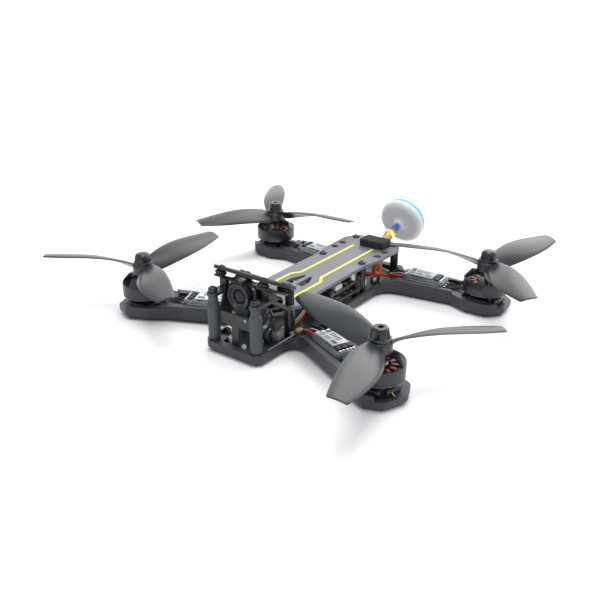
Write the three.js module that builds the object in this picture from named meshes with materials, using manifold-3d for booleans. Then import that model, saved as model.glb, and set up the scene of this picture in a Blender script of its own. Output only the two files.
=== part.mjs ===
// A racing quadcopter of the 215 mm class with first-person-view gear.
// Millimetres, +Z up. The nose points to -Y and +X is the right-hand side seen from the front.
// The origin is on the ground, midway between the four motor axes.

import * as THREE from 'three';
import { mergeVertices } from 'three/addons/utils/BufferGeometryUtils.js';
import Module from 'manifold-3d';

const wasm = await Module();
wasm.setup();

// ---------------------------------------------------------------- driving dimensions

// Layout
const motorX = 85; // motor axes, half their spacing across
const motorY = 66.4; // motor axes, half their spacing along
const frontArmRootY = -38; // where the front arms' centre lines meet the body
const rearArmRootY = 62;
const armRootX = 20;
const patternX = 15.25; // half of the 30.5 mm square that standoffs and boards share

// Lower frame, a moulded tray
const noseHalf = 20.2;
const noseFlatHalf = 17;
const noseY = -83;
const noseShoulderY = -79.2;
const waistHalf = 21;
const tailY = 83;
const tailFlatHalf = 16;
const escWidth = 13.4; // speed controllers, which the arms' narrowest places make room for
const armNeckHalf = { [-1]: 12.9, [1]: escWidth / 2 + 3.7 }; // half width beside the motor pad, front and rear
const armRootHalf = { [-1]: escWidth / 2 + 3.9, [1]: 14.8 }; // half width beside the body
const floorThickness = 4.2;
const escFloor = 7.6;
const motorFloor = 5.6;
const bodyRim = 6.9;
const armRim = 10.6;
const padRim = 8.9;
const padLip = 5.9; // the low rim round a pad's outer end and front side
const armRise = 8; // length of the slope from the body's rim to the arms' rim
const wall = 2.4;
const bottomChamfer = 2;
const bottomChamferHeight = 2.8;
const padHalf = 15.8; // half the width across a pad's flats
const padRecess = 0.8; // around the motor's flange

// Motors
const bellRadius = 14;
const bellWall = 1.4;
const bellSkirtZ = 12.3;
const bellShoulderZ = 20.8;
const bellTopZ = 25.2;
const airGap = 0.5;
const statorFlangeRadius = 12;
const shaftRadius = 2.5;
const innerShaftRadius = 1.5;
const shaftClearance = 0.06;
const bellHubRadius = 4.6;
const bellHubRise = 0.4; // its seat for the propeller, over the spokes

// Propellers
const propTipClearance = 5.8; // between neighbours along the body
const propPlateOverlap = 0.1; // the blades' circle just reaches over the plate's widest part
const propHubRadius = 6.7;
const propHubHeight = 6.6;
const nutHeight = 7;
const nutFlangeRadius = 6;
const nutRadius = 5.1;
const boreClearance = 0.15;

// Top plate, bent up at the front into two prongs
const plateUnderside = 23.6;
const plateThickness = 2;
const plateHalf = 18.6;
const plateEarHalf = 21.2;
const plateFlareHalf = 21.6;
const plateFrontY = -54;
const plateRearY = 76;
const prongRise = 10; // from the plate's top to the prongs' top
const prongRun = 14;
const prongHalfWidth = 3.1;

// Standoffs
const frontStandoffY = -78.5;
const cageStandoffY = -48.3;
const midStandoffY = 29;
const rearStandoffY = 72;
const standoffRadius = 2.75;
const cageStandoffRadius = 3.1;
const sleeveRadius = 3.5;
const sleeveNeck = 3.4;
const screwHeadRadius = 2.6;
const screwHeadHeight = 3;

// Stack of circuit boards
const boardHalf = 18;
const boardThickness = 1.6;
const boardCentreY = 7.6;
const boardLowerZ = 9.6;
const boardGap = 4.9;
const postRadius = 2.6;
const postScrewRadius = 1.5;
const postClearance = 0.3;

// Speed controllers
const escLength = 29;
const escThickness = 6.4;
const escFromMotor = 41;

// Camera and its bracket
const cameraWidth = 19.8;
const cameraHeight = 15;
const cameraDepth = 6;
const cameraFrontY = -71.5;
const cameraAbovePlate = 9.4; // lens axis over the top plate
const cameraPivotBehindFront = 4.5;
const lensRadius = 7.7;
const lensLength = 4;
const cheekThickness = 1.2;
const cameraClearance = 0.4;
const pivotRadius = 1.1;
const pivotClearance = 0.07;
const sideGap = 0.3; // between the bracket and the pieces beside it

// Action-camera plate on rubber dampers
const cagePitch = 26.6; // degrees, nose up
const actionPlateY = -59.9;
const actionPlateRise = 16.3; // its centre over the top plate
const actionPlateHalfWidth = 19.5;
const actionPlateHalfLength = 15.2;
const actionPlateThickness = 2;
const damperPlateThickness = 1.4;
const damperHeight = 2.2;
const damperRadius = 3.4;
const damperX = 15.2;
const damperFrontY = -11.5;
const damperRearY = 7;
const restGap = 0.3;

// Video transmitter and antenna
const antennaX = 5;
const antennaPitch = 17.5; // degrees, tip up
const antennaBaseY = 75;
const antennaBaseRise = 0.6; // over the top plate's upper face
const holderSize = [18.4, 11.6, 5];
const holderCentreY = 62.4;
const shellRadius = 16.5;

// ---------------------------------------------------------------- fits worked out from them

const plateTop = plateUnderside + plateThickness;
const prongTop = plateTop + prongRise;
const prongUnderside = prongTop - plateThickness;
const bellInner = bellRadius - bellWall;
const statorRadius = bellInner - airGap;
const propHubZ = bellTopZ + bellHubRise;
const nutZ = propHubZ + propHubHeight;
const propRadius = Math.min(
  motorY - propTipClearance / 2,
  motorX - plateFlareHalf + propPlateOverlap,
);
const cameraHalf = cameraWidth / 2;
const cheekInner = cameraHalf + cameraClearance;
const cheekOuter = cheekInner + cheekThickness;
const cameraAxisZ = plateTop + cameraAbovePlate;
const cameraPivotY = cameraFrontY + cameraPivotBehindFront;
const prongInner = Math.max(patternX - prongHalfWidth, cheekOuter + sideGap / 2);
const sleeveReach = Math.sqrt(Math.max(sleeveRadius ** 2 - (patternX - cheekOuter) ** 2, 0));
const bracketFrontY = frontStandoffY + sleeveReach + sideGap;
const boardUpperZ = boardLowerZ + boardThickness + boardGap;
const damperPlateTop = -actionPlateThickness / 2 - damperHeight - 2 * restGap;
const damperPlateUnderside = damperPlateTop - damperPlateThickness;
const RADIANS = Math.PI / 180;

// The four corners of the drone: spin is +1 where the propeller turns anticlockwise from above.
const corners = [
  { name: 'front_left', side: -1, end: -1, spin: 1, phase: 89 },
  { name: 'front_right', side: 1, end: -1, spin: -1, phase: 44 },
  { name: 'rear_left', side: -1, end: 1, spin: -1, phase: 8 },
  { name: 'rear_right', side: 1, end: 1, spin: 1, phase: 73 },
];

// ---------------------------------------------------------------- shape helpers

// Leaves out the points that sit on a straight line between their neighbours.
function withoutFlatPoints(points) {
  return points.filter((point, i) => {
    const before = points.at(i - 1).clone().sub(point);
    const after = points[(i + 1) % points.length].clone().sub(point);
    return Math.abs(before.cross(after)) > 1e-3;
  });
}

// An outline whose corners [x, y, radius] are rounded off by short curves.
function roundedShape(points, curveSegments = 3) {
  const shape = new THREE.Shape();
  points.forEach(([x, y, radius = 0], i) => {
    const corner = new THREE.Vector2(x, y);
    const before = new THREE.Vector2(...points.at(i - 1).slice(0, 2)).sub(corner);
    const after = new THREE.Vector2(...points[(i + 1) % points.length].slice(0, 2)).sub(corner);
    const turn = Math.abs(Math.atan2(before.cross(after), before.dot(after)));
    const most = 0.45 * Math.min(before.length(), after.length());
    const reach = Math.min(radius / Math.tan(turn / 2), most);
    const start = before.setLength(Math.max(reach, 1e-6)).add(corner);
    const end = after.setLength(Math.max(reach, 1e-6)).add(corner);
    if (i === 0) shape.moveTo(start.x, start.y);
    else shape.lineTo(start.x, start.y);
    if (reach > 1e-3) shape.quadraticCurveTo(x, y, end.x, end.y);
  });
  shape.closePath();
  return new THREE.Shape(withoutFlatPoints(shape.getPoints(curveSegments).slice(0, -1)));
}

// The same outline on both sides of the Y axis, given its right-hand half from front to rear.
function mirrored(half) {
  return [...half, ...half.map(([x, y, radius]) => [-x, y, radius]).reverse()];
}

// A flat solid between two heights.
function slab(shape, bottom, top) {
  const options = { depth: top - bottom, bevelEnabled: false };
  return new THREE.ExtrudeGeometry(shape, options).translate(0, 0, bottom);
}

// A solid of one side-view outline [y, z] across the body, from one x to another.
function sideProfile(points, x0, x1) {
  const shape = new THREE.Shape(points.map(([y, z]) => new THREE.Vector2(y, z)));
  const geometry = new THREE.ExtrudeGeometry(shape, { depth: x1 - x0, bevelEnabled: false });
  return geometry.rotateX(Math.PI / 2).rotateZ(Math.PI / 2).translate(x0, 0, 0);
}

function block(x0, x1, y0, y1, z0, z1) {
  const geometry = new THREE.BoxGeometry(x1 - x0, y1 - y0, z1 - z0);
  return geometry.translate((x0 + x1) / 2, (y0 + y1) / 2, (z0 + z1) / 2);
}

function rod(x, y, z0, z1, radius, segments = 16) {
  const geometry = new THREE.CylinderGeometry(radius, radius, z1 - z0, segments);
  return geometry.rotateX(Math.PI / 2).translate(x, y, (z0 + z1) / 2);
}

// A rod across the body, centred on it.
function crossRod(half, y, z, radius) {
  const geometry = new THREE.CylinderGeometry(radius, radius, 2 * half, 12);
  return geometry.rotateZ(Math.PI / 2).translate(0, y, z);
}

// A solid of revolution about Z from a profile of [radius, z].
function turned(profile, segments = 24) {
  const points = profile.map(([radius, z]) => new THREE.Vector2(radius, z));
  return new THREE.LatheGeometry(points, segments).rotateX(Math.PI / 2);
}

// Merges a geometry's shared vertices, drops empty triangles and turns its faces outwards.
function closed(geometry) {
  const plain = geometry.clone();
  plain.deleteAttribute('normal');
  plain.deleteAttribute('uv');
  const merged = mergeVertices(plain, 1e-4);
  const position = merged.getAttribute('position');
  const corner = (i) => new THREE.Vector3().fromBufferAttribute(position, i);
  const kept = [];
  let volume = 0;
  for (let i = 0; i < merged.index.count; i += 3) {
    const [a, b, c] = [0, 1, 2].map((k) => merged.index.getX(i + k));
    if (a === b || b === c || c === a) continue;
    kept.push([a, b, c]);
    volume += corner(a).dot(corner(b).cross(corner(c)));
  }
  merged.setIndex(kept.flatMap(([a, b, c]) => (volume < 0 ? [a, c, b] : [a, b, c])));
  return merged;
}

function toManifold(geometry) {
  const solid = closed(geometry);
  const vertProperties = new Float32Array(solid.getAttribute('position').array);
  const triVerts = new Uint32Array(solid.index.array);
  return new wasm.Manifold(new wasm.Mesh({ numProp: 3, vertProperties, triVerts }));
}

function fromManifold(solid) {
  const mesh = solid.getMesh();
  const geometry = new THREE.BufferGeometry();
  geometry.setAttribute('position', new THREE.BufferAttribute(mesh.vertProperties, 3));
  geometry.setIndex(new THREE.BufferAttribute(mesh.triVerts, 1));
  geometry.computeVertexNormals();
  return geometry;
}

function join(...parts) {
  return fromManifold(parts.map(toManifold).reduce((sum, part) => sum.add(part)));
}

function cut(base, ...tools) {
  return fromManifold(tools.map(toManifold).reduce((left, tool) => left.subtract(tool), toManifold(base)));
}

function overlap(a, b) {
  return fromManifold(toManifold(a).intersect(toManifold(b)));
}

// ---------------------------------------------------------------- materials

const finish = (color, roughness, metalness = 0) => ({ color, roughness, metalness });
const finishes = {
  moulding: finish(0x2b2d31, 0.55),
  plate: finish(0x77767a, 0.55, 0.3),
  blackMetal: finish(0x24262a, 0.4, 0.5),
  sleeve: finish(0x2c3236, 0.6),
  carbon: finish(0x303236, 0.45),
  rubber: finish(0x1b1c1e, 0.85),
  steel: finish(0x9a9ca0, 0.3, 1),
  board: finish(0x6f7a3a, 0.5),
  nylon: finish(0x1d1e20, 0.6),
  shrink: finish(0xc9ccd0, 0.3),
  laminate: finish(0x8a5a3a, 0.45, 0.6),
  propeller: finish(0x6f7478, 0.35),
  lens: finish(0x1c1d20, 0.4),
  glass: finish(0x202838, 0.05),
  gold: finish(0xe0c46a, 0.25, 1),
  copper: finish(0xb5652d, 0.35, 0.8),
  bluePlastic: finish(0x2f7fd8, 0.4),
  whitePlastic: finish(0xdfe0e0, 0.5),
  cyanPlastic: finish(0x5fc8ea, 0.4),
  foam: finish(0x2a2a2c, 0.95),
  can: finish(0xa9abb0, 0.4, 0.6),
};

const group = new THREE.Group();

function addPart(name, look, geometry, parent = group) {
  const mesh = new THREE.Mesh(closed(geometry), new THREE.MeshStandardMaterial(finishes[look]));
  mesh.name = name;
  parent.add(mesh);
  return mesh;
}

// ---------------------------------------------------------------- arms

// The right-hand arm of one end: its motor axis, the way it runs out, and its length.
function armLine(end) {
  const root = new THREE.Vector2(armRootX, end < 0 ? frontArmRootY : rearArmRootY);
  const hub = new THREE.Vector2(motorX, end * motorY);
  const out = hub.clone().sub(root);
  const length = out.length();
  out.normalize();
  const forward = new THREE.Vector2(out.y, -out.x);
  const at = (u, v) => hub.clone().addScaledVector(out, u).addScaledVector(forward, v);
  const angle = Math.atan2(out.y, out.x);
  return { hub, out, length, at, angle, neckHalf: armNeckHalf[end], rootHalf: armRootHalf[end] };
}

const armLines = { [-1]: armLine(-1), [1]: armLine(1) };

// Where the arm's edge, offset by v from its centre line, crosses a body side at x.
function armMeets(arm, v, x) {
  const point = arm.at(0, v);
  return point.y + ((x - point.x) * arm.out.y) / arm.out.x;
}

// Outline of one arm and its motor pad, from its front root to its rear root.
function armOutline(arm, frontX, rearX, frontRadius, rearRadius) {
  const neck = -padHalf - 3;
  const cornerStart = padHalf * 0.46;
  const pad = [
    [neck, arm.neckHalf, 4],
    [-cornerStart, padHalf, 3],
    [cornerStart, padHalf, 3],
    [padHalf, cornerStart, 3],
    [padHalf, -cornerStart, 3],
    [cornerStart, -padHalf, 3],
    [-cornerStart, -padHalf, 3],
    [neck, -arm.neckHalf, 4],
  ].map(([u, v, radius]) => [...arm.at(u, v).toArray(), radius]);
  return [
    [frontX, armMeets(arm, arm.rootHalf, frontX), frontRadius],
    ...pad,
    [rearX, armMeets(arm, -arm.rootHalf, rearX), rearRadius],
  ];
}

// ---------------------------------------------------------------- lower frame

// Turns a tool made for the right-hand arm into one for each side of one end.
function onArm(geometry, end, side) {
  const arm = armLines[end];
  geometry.rotateZ(arm.angle).translate(arm.hub.x, arm.hub.y, 0);
  return side < 0 ? closed(geometry.scale(-1, 1, 1)) : geometry;
}

function motorPadTools(end, side) {
  const tools = [
    rod(0, 0, padRim, armRim + 5, padHalf + 5, 12),
    block(-12, padHalf + 5, 5 - padHalf, padHalf + 5, padLip, armRim + 5),
    rod(0, 0, motorFloor, armRim + 5, statorFlangeRadius + padRecess, 20),
    rod(0, 0, -1, motorFloor + 1, 3, 8),
  ];
  for (const [radius, turn] of [[8, 0], [8, 180], [9.5, 90], [9.5, 270]]) {
    const angle = turn * RADIANS;
    tools.push(rod(radius * Math.cos(angle), radius * Math.sin(angle), -1, motorFloor + 1, 1.6, 6));
  }
  return tools.map((tool) => onArm(tool, end, side));
}

function escBayTools(end, side) {
  const arm = armLines[end];
  const inner = -(arm.length - waistHalf + armRootX - 1);
  const outer = -padHalf - 3;
  const bayHalf = Math.min(arm.neckHalf, arm.rootHalf);
  return [
    block(inner, outer, wall - bayHalf, bayHalf - wall, escFloor, armRim + 5),
    block(outer - 1, -bellRadius + 2, -5, 5, escFloor, armRim + 5),
    block(inner - 6, inner + 1, -5, 5, bodyRim - 1, armRim + 5),
  ].map((tool) => onArm(tool, end, side));
}

function lowerFrame() {
  const outline = mirrored([
    [noseFlatHalf, noseY, 3],
    [noseHalf, noseShoulderY, 4],
    ...armOutline(armLines[-1], noseHalf, waistHalf, 12, 14),
    ...armOutline(armLines[1], waistHalf, waistHalf, 14, 7),
    [tailFlatHalf, tailY, 3],
  ]);
  const bevel = {
    depth: armRim,
    bevelThickness: bottomChamferHeight,
    bevelSize: bottomChamfer,
    bevelOffset: -bottomChamfer,
    bevelSegments: 1,
  };
  const hull = new THREE.ExtrudeGeometry(roundedShape(outline), bevel).translate(0, 0, bottomChamferHeight);
  const high = armRim + 10;
  const reach = motorX + 40;
  const bodyDrop = new THREE.Shape([
    new THREE.Vector2(-waistHalf, bodyRim),
    new THREE.Vector2(waistHalf, bodyRim),
    new THREE.Vector2(waistHalf + armRise, armRim),
    new THREE.Vector2(waistHalf + armRise, high),
    new THREE.Vector2(-waistHalf - armRise, high),
    new THREE.Vector2(-waistHalf - armRise, armRim),
  ]);
  const along = new THREE.ExtrudeGeometry(bodyDrop, { depth: tailY - noseY + 40, bevelEnabled: false });
  along.rotateX(Math.PI / 2).translate(0, tailY + 20, 0);
  const bodyBay = roundedShape(mirrored([
    [boardHalf + 0.4, frontStandoffY + sleeveRadius + 2, 3],
    [boardHalf + 0.6, tailY - 5, 4],
  ]));
  const noseBay = block(-9.4, 9.4, noseY + 4, frontStandoffY + sleeveRadius + 4, floorThickness, high);
  const tools = [
    block(-reach, reach, -reach, reach, armRim, high),
    along,
    slab(bodyBay, floorThickness, high),
    noseBay,
  ];
  for (const { side, end } of corners) tools.push(...motorPadTools(end, side), ...escBayTools(end, side));
  for (const y of [frontStandoffY, cageStandoffY, midStandoffY, rearStandoffY]) {
    for (const side of [-1, 1]) tools.push(rod(side * patternX, y, -1, 1.4, 2.9, 8));
  }
  return cut(hull, ...tools);
}

// ---------------------------------------------------------------- top plate

function topPlate() {
  const prongOuter = patternX + prongHalfWidth;
  const prongEndY = frontStandoffY - prongHalfWidth;
  const outline = roundedShape(mirrored([
    [prongInner - 5.5, plateFrontY + 10, 4],
    [prongInner, plateFrontY + 4, 3],
    [prongInner, prongEndY, 3],
    [prongOuter, prongEndY, 3],
    [prongOuter, plateFrontY - 1, 2],
    [plateFlareHalf, plateFrontY + 8, 2],
    [plateHalf, plateFrontY + 18, 5],
    [plateHalf, midStandoffY - 3, 6],
    [plateEarHalf, midStandoffY + 10, 4],
    [plateEarHalf + 0.6, plateRearY - 10, 3],
    [plateHalf - 2, plateRearY, 3],
  ]));
  const lean = plateThickness * Math.tan(Math.atan2(prongRise, prongRun) / 2);
  const bendY = plateFrontY + 1;
  const profile = sideProfile([
    [plateRearY + 5, plateUnderside],
    [plateRearY + 5, plateTop],
    [bendY, plateTop],
    [bendY - prongRun, prongTop],
    [prongEndY - 5, prongTop],
    [prongEndY - 5, prongUnderside],
    [bendY - prongRun - lean, prongUnderside],
    [bendY - lean, plateUnderside],
  ], -motorX, motorX);
  const low = plateUnderside - 1;
  const high = prongTop + 1;
  const holes = [block(antennaX - 4.8, antennaX + 4.8, plateRearY - 7, plateRearY + 5, low, high)];
  for (const side of [-1, 1]) {
    const slot = roundedShape([
      [side * 1.6, -24, 0.6],
      [side * 6.8, -24, 1],
      [side * 6.4, -17.5, 1.5],
      [side * 3, -9, 0.6],
      [side * 1.4, -9, 0.5],
    ]);
    holes.push(slab(slot, low, high));
    for (const y of [45.5, 55]) holes.push(rod(side * (plateEarHalf - 4.4), y, low, high, 2.6, 12));
    const slopeMiddle = bendY - prongRun / 2;
    holes.push(block(
      side * patternX - 1.4, side * patternX + 1.4, slopeMiddle - 4.5, slopeMiddle + 4.5, low, high,
    ));
  }
  return cut(overlap(slab(outline, low, high), profile), ...holes);
}

// ---------------------------------------------------------------- standoffs and screws

// A plain standoff between the tray's floor and the top plate.
function standoff(radius) {
  return turned([
    [0, floorThickness],
    [radius, floorThickness],
    [radius, plateUnderside],
    [0, plateUnderside],
  ], 16);
}

// A front standoff in a fat sleeve, with its bare neck under the prong.
function sleevedStandoff() {
  const sleeveTop = prongUnderside - sleeveNeck;
  return turned([
    [0, bodyRim],
    [sleeveRadius, bodyRim],
    [sleeveRadius, sleeveTop - 0.8],
    [sleeveRadius - 0.8, sleeveTop],
    [standoffRadius, sleeveTop],
    [standoffRadius, prongUnderside],
    [0, prongUnderside],
  ], 20);
}

function capScrew() {
  const socket = 1.3;
  return turned([
    [0, prongTop],
    [screwHeadRadius, prongTop],
    [screwHeadRadius, prongTop + 0.6 * screwHeadHeight],
    [screwHeadRadius * 0.62, prongTop + screwHeadHeight],
    [socket, prongTop + screwHeadHeight],
    [socket, prongTop + 0.4 * screwHeadHeight],
    [0, prongTop + 0.4 * screwHeadHeight],
  ], 16);
}

function addStandoffs() {
  for (const [side, label] of [[-1, 'left'], [1, 'right']]) {
    const x = side * patternX;
    addPart(`front_standoff_${label}`, 'sleeve', sleevedStandoff()).position.set(x, frontStandoffY, 0);
    addPart(`front_screw_${label}`, 'blackMetal', capScrew()).position.set(x, frontStandoffY, 0);
    for (const [name, y, radius] of [
      ['cage', cageStandoffY, cageStandoffRadius],
      ['mid', midStandoffY, standoffRadius],
      ['rear', rearStandoffY, standoffRadius],
    ]) {
      addPart(`${name}_standoff_${label}`, 'blackMetal', standoff(radius)).position.set(x, y, 0);
    }
  }
}

// ---------------------------------------------------------------- boards

function board(z, chips) {
  const half = boardHalf;
  const outline = roundedShape([
    [-half, boardCentreY - half, 2],
    [half, boardCentreY - half, 2],
    [half, boardCentreY + half, 2],
    [-half, boardCentreY + half, 2],
  ]);
  const posts = [-1, 1].flatMap((sx) => [-1, 1].map((sy) => rod(
    sx * patternX, boardCentreY + sy * patternX, z - 1, z + boardThickness + 1,
    postScrewRadius + postClearance, 12,
  )));
  const top = z + boardThickness;
  const parts = chips.map(([x0, x1, y0, y1, height]) => block(x0, x1, y0, y1, top - 0.5, top + height));
  return join(cut(slab(outline, z, top), ...posts), ...parts);
}

// A screw with the spacers and the nut that hold both boards at one corner.
function stackPost() {
  const nutTop = boardUpperZ + boardThickness + 2;
  return turned([
    [0, floorThickness],
    [postRadius, floorThickness],
    [postRadius, boardLowerZ],
    [postScrewRadius, boardLowerZ],
    [postScrewRadius, boardLowerZ + boardThickness],
    [postRadius, boardLowerZ + boardThickness],
    [postRadius, boardUpperZ],
    [postScrewRadius, boardUpperZ],
    [postScrewRadius, boardUpperZ + boardThickness],
    [postRadius, boardUpperZ + boardThickness],
    [postRadius, nutTop],
    [0, nutTop],
  ], 8);
}

function addBoards() {
  addPart('power_board', 'board', board(boardLowerZ, [[-9, 9, 3, 14, 1.6], [-17, -12, 2, 10, 3]]));
  addPart('flight_controller', 'board', board(boardUpperZ, [
    [-4.5, 4.5, 3, 12, 1.2],
    [12.4, 17.6, -3, 4, 2.4],
    [-16, -12, 4, 12, 3],
    [-5, 5, -9.5, -4.5, 2.6],
  ]));
  for (const [sx, hand] of [[-1, 'left'], [1, 'right']]) {
    for (const [sy, end] of [[-1, 'front'], [1, 'rear']]) {
      const post = addPart(`stack_post_${end}_${hand}`, 'nylon', stackPost());
      post.position.set(sx * patternX, boardCentreY + sy * patternX, 0);
    }
  }
}

// ---------------------------------------------------------------- speed controllers

function speedController() {
  const half = escLength / 2;
  const outline = roundedShape([
    [-half, -escWidth / 2, 1.5],
    [half, -escWidth / 2, 1.5],
    [half, escWidth / 2, 1.5],
    [-half, escWidth / 2, 1.5],
  ]);
  const bevel = 0.9;
  return new THREE.ExtrudeGeometry(outline, {
    depth: escThickness - 2 * bevel,
    bevelThickness: bevel,
    bevelSize: bevel,
    bevelOffset: -bevel,
    bevelSegments: 1,
  }).translate(0, 0, escFloor + bevel);
}

function addSpeedControllers() {
  for (const { name, side, end } of corners) {
    const arm = armLines[end];
    const place = arm.at(-escFromMotor, 0);
    const esc = addPart(`speed_controller_${name}`, 'shrink', speedController());
    esc.position.set(side * place.x, place.y, 0);
    esc.rotation.z = side * arm.angle;
  }
}

// ---------------------------------------------------------------- motors

// The fixed half: mounting flange, bearing tube and the laminated core with its windings.
function stator() {
  const bore = innerShaftRadius + shaftClearance;
  const coreBottom = bellSkirtZ + 0.9;
  const coreTop = bellShoulderZ - 1.6;
  return turned([
    [bore, motorFloor],
    [statorFlangeRadius, motorFloor],
    [statorFlangeRadius, motorFloor + 3.4],
    [5, motorFloor + 4.4],
    [5, coreBottom],
    [statorRadius - 2, coreBottom],
    [statorRadius, coreBottom + 1.4],
    [statorRadius, coreTop - 1.4],
    [statorRadius - 2, coreTop],
    [bore, coreTop],
    [bore, motorFloor],
  ], 20);
}

// The turning half: bell wall, six spokes, hub and the shaft through the bearing tube.
function bell() {
  const cupTop = bellShoulderZ - 0.6;
  const wallRing = turned([
    [bellInner, bellSkirtZ],
    [bellRadius, bellSkirtZ],
    [bellRadius, bellShoulderZ],
    [bellRadius - 3.6, bellTopZ - 0.6],
    [bellRadius - 4.4, bellTopZ - 1.6],
    [bellInner, cupTop],
    [bellInner, bellSkirtZ],
  ], 20);
  const hub = turned([
    [0, motorFloor + 0.6],
    [innerShaftRadius, motorFloor + 0.6],
    [innerShaftRadius, cupTop],
    [bellHubRadius, cupTop],
    [bellHubRadius, propHubZ],
    [shaftRadius, propHubZ],
    [shaftRadius, nutZ + nutHeight - 2],
    [0, nutZ + nutHeight - 2],
  ], 12);
  const spokes = [];
  for (let i = 0; i < 4; i += 1) {
    const spoke = sideProfile([
      [bellHubRadius - 1, cupTop + 0.2],
      [bellRadius - 2, cupTop + 0.3],
      [bellRadius - 1, bellShoulderZ + 0.3],
      [bellRadius - 3.9, bellTopZ - 1],
      [bellHubRadius - 1, bellTopZ - 0.2],
    ], -1.6, 1.6);
    spokes.push(spoke.rotateZ((i * Math.PI) / 2 + 0.4));
  }
  return join(wallRing, hub, ...spokes);
}

// ---------------------------------------------------------------- propellers

// One section of a blade: its six outline points at a share t of the way from root to tip.
function bladeSection(t, spin) {
  const radius = THREE.MathUtils.lerp(propHubRadius - 2.2, propRadius, t);
  const swell = Math.sin(Math.PI * Math.min(1, 0.1 + 0.8 * t));
  const chord = propRadius * (0.1 + 0.185 * swell);
  const lift = 0.076 * propRadius * Math.sin((Math.PI / 2) * Math.min(1, 1.7 * t));
  const room = 0.38 * propHubHeight + lift;
  const steepest = Math.asin(Math.min(1, room / (0.5 * chord)));
  const pitch = Math.min(Math.atan2(0.27 * propRadius, radius + 0.18 * propRadius) - 0.03, steepest);
  const sweep = -0.02 * propRadius * Math.sin(Math.PI * t);
  const thickness = THREE.MathUtils.lerp(2, 0.9, Math.sqrt(t));
  const camber = 0.07 * chord;
  const centreZ = propHubZ + 0.5 * propHubHeight + lift;
  const squareness = Math.sqrt(Math.max(radius * radius - (0.5 * chord) ** 2, 1));
  const outline = [];
  const stations = [-0.5, -0.1, 0.5];
  const point = (share, above) => {
    const across = share * chord;
    const bow = camber * (1 - 4 * share * share) + above * 0.5 * thickness * (1 - 3 * share * share);
    const sideways = across * Math.cos(pitch) - bow * Math.sin(pitch) + sweep;
    const height = across * Math.sin(pitch) + bow * Math.cos(pitch);
    outline.push(new THREE.Vector3(squareness, spin * sideways, centreZ + height));
  };
  stations.forEach((share) => point(share, -1));
  [...stations].reverse().forEach((share) => point(share, 1));
  return outline;
}

function blade(spin) {
  const count = 8;
  const sections = Array.from({ length: count }, (_, i) => bladeSection(i / (count - 1), spin));
  const size = sections[0].length;
  const index = [];
  for (let i = 0; i + 1 < count; i += 1) {
    for (let k = 0; k < size; k += 1) {
      const [a, b] = [i * size + k, i * size + ((k + 1) % size)];
      index.push(a, b, b + size, a, b + size, a + size);
    }
  }
  for (const [start, flip] of [[0, true], [(count - 1) * size, false]]) {
    for (let k = 1; k + 1 < size; k += 1) {
      const [b, c] = flip ? [start + k + 1, start + k] : [start + k, start + k + 1];
      index.push(start, b, c);
    }
  }
  const geometry = new THREE.BufferGeometry().setFromPoints(sections.flat());
  geometry.setIndex(index);
  return geometry;
}

function propeller(spin, phase) {
  const bore = shaftRadius + boreClearance;
  const top = propHubZ + propHubHeight;
  const hub = turned([
    [bore, propHubZ],
    [propHubRadius, propHubZ],
    [propHubRadius, top - 0.8],
    [propHubRadius - 0.8, top],
    [bore, top],
    [bore, propHubZ],
  ], 16);
  const blades = [0, 1, 2].map((i) => blade(spin).rotateZ((phase + 120 * i) * RADIANS));
  const hole = rod(0, 0, propHubZ - 6, top + 6, bore, 16);
  const nutSeat = rod(0, 0, top, top + 6, nutFlangeRadius + 0.4, 12);
  const bellSeat = rod(0, 0, propHubZ - 6, propHubZ, bellRadius, 12);
  return cut(join(hub, ...blades), hole, nutSeat, bellSeat);
}

// Anticlockwise motors carry a domed nut, clockwise ones a blunt cone with an open end.
function propNut(spin) {
  const bore = shaftRadius + boreClearance;
  const top = nutZ + nutHeight;
  const skirt = [
    [bore, nutZ],
    [nutFlangeRadius, nutZ],
    [nutFlangeRadius, nutZ + 1.2],
    [nutRadius, nutZ + 1.2],
  ];
  const inside = top - 1.6;
  const dome = [
    [nutRadius - 0.3, top - 2.6],
    [nutRadius - 1.2, top - 0.9],
    [nutRadius - 2.8, top - 0.1],
    [0, top],
    [0, inside],
    [bore, inside],
  ];
  const cone = [
    [nutRadius - 0.8, top - 0.6],
    [nutRadius - 1.3, top],
    [1.5, top],
    [1.5, inside],
    [bore, inside],
  ];
  const profile = [...skirt, ...(spin > 0 ? dome : cone), [bore, nutZ]];
  return turned(profile, 16);
}

function addMotors() {
  for (const { name, side, end, spin, phase } of corners) {
    const place = new THREE.Group();
    place.position.set(side * motorX, end * motorY, 0);
    addPart(`motor_stator_${name}`, 'laminate', stator(), place);
    addPart(`motor_bell_${name}`, 'blackMetal', bell(), place);
    addPart(`propeller_${name}`, 'propeller', propeller(spin, phase), place);
    addPart(`prop_nut_${name}`, 'blackMetal', propNut(spin), place);
    group.add(place);
  }
}

// ---------------------------------------------------------------- camera

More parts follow.
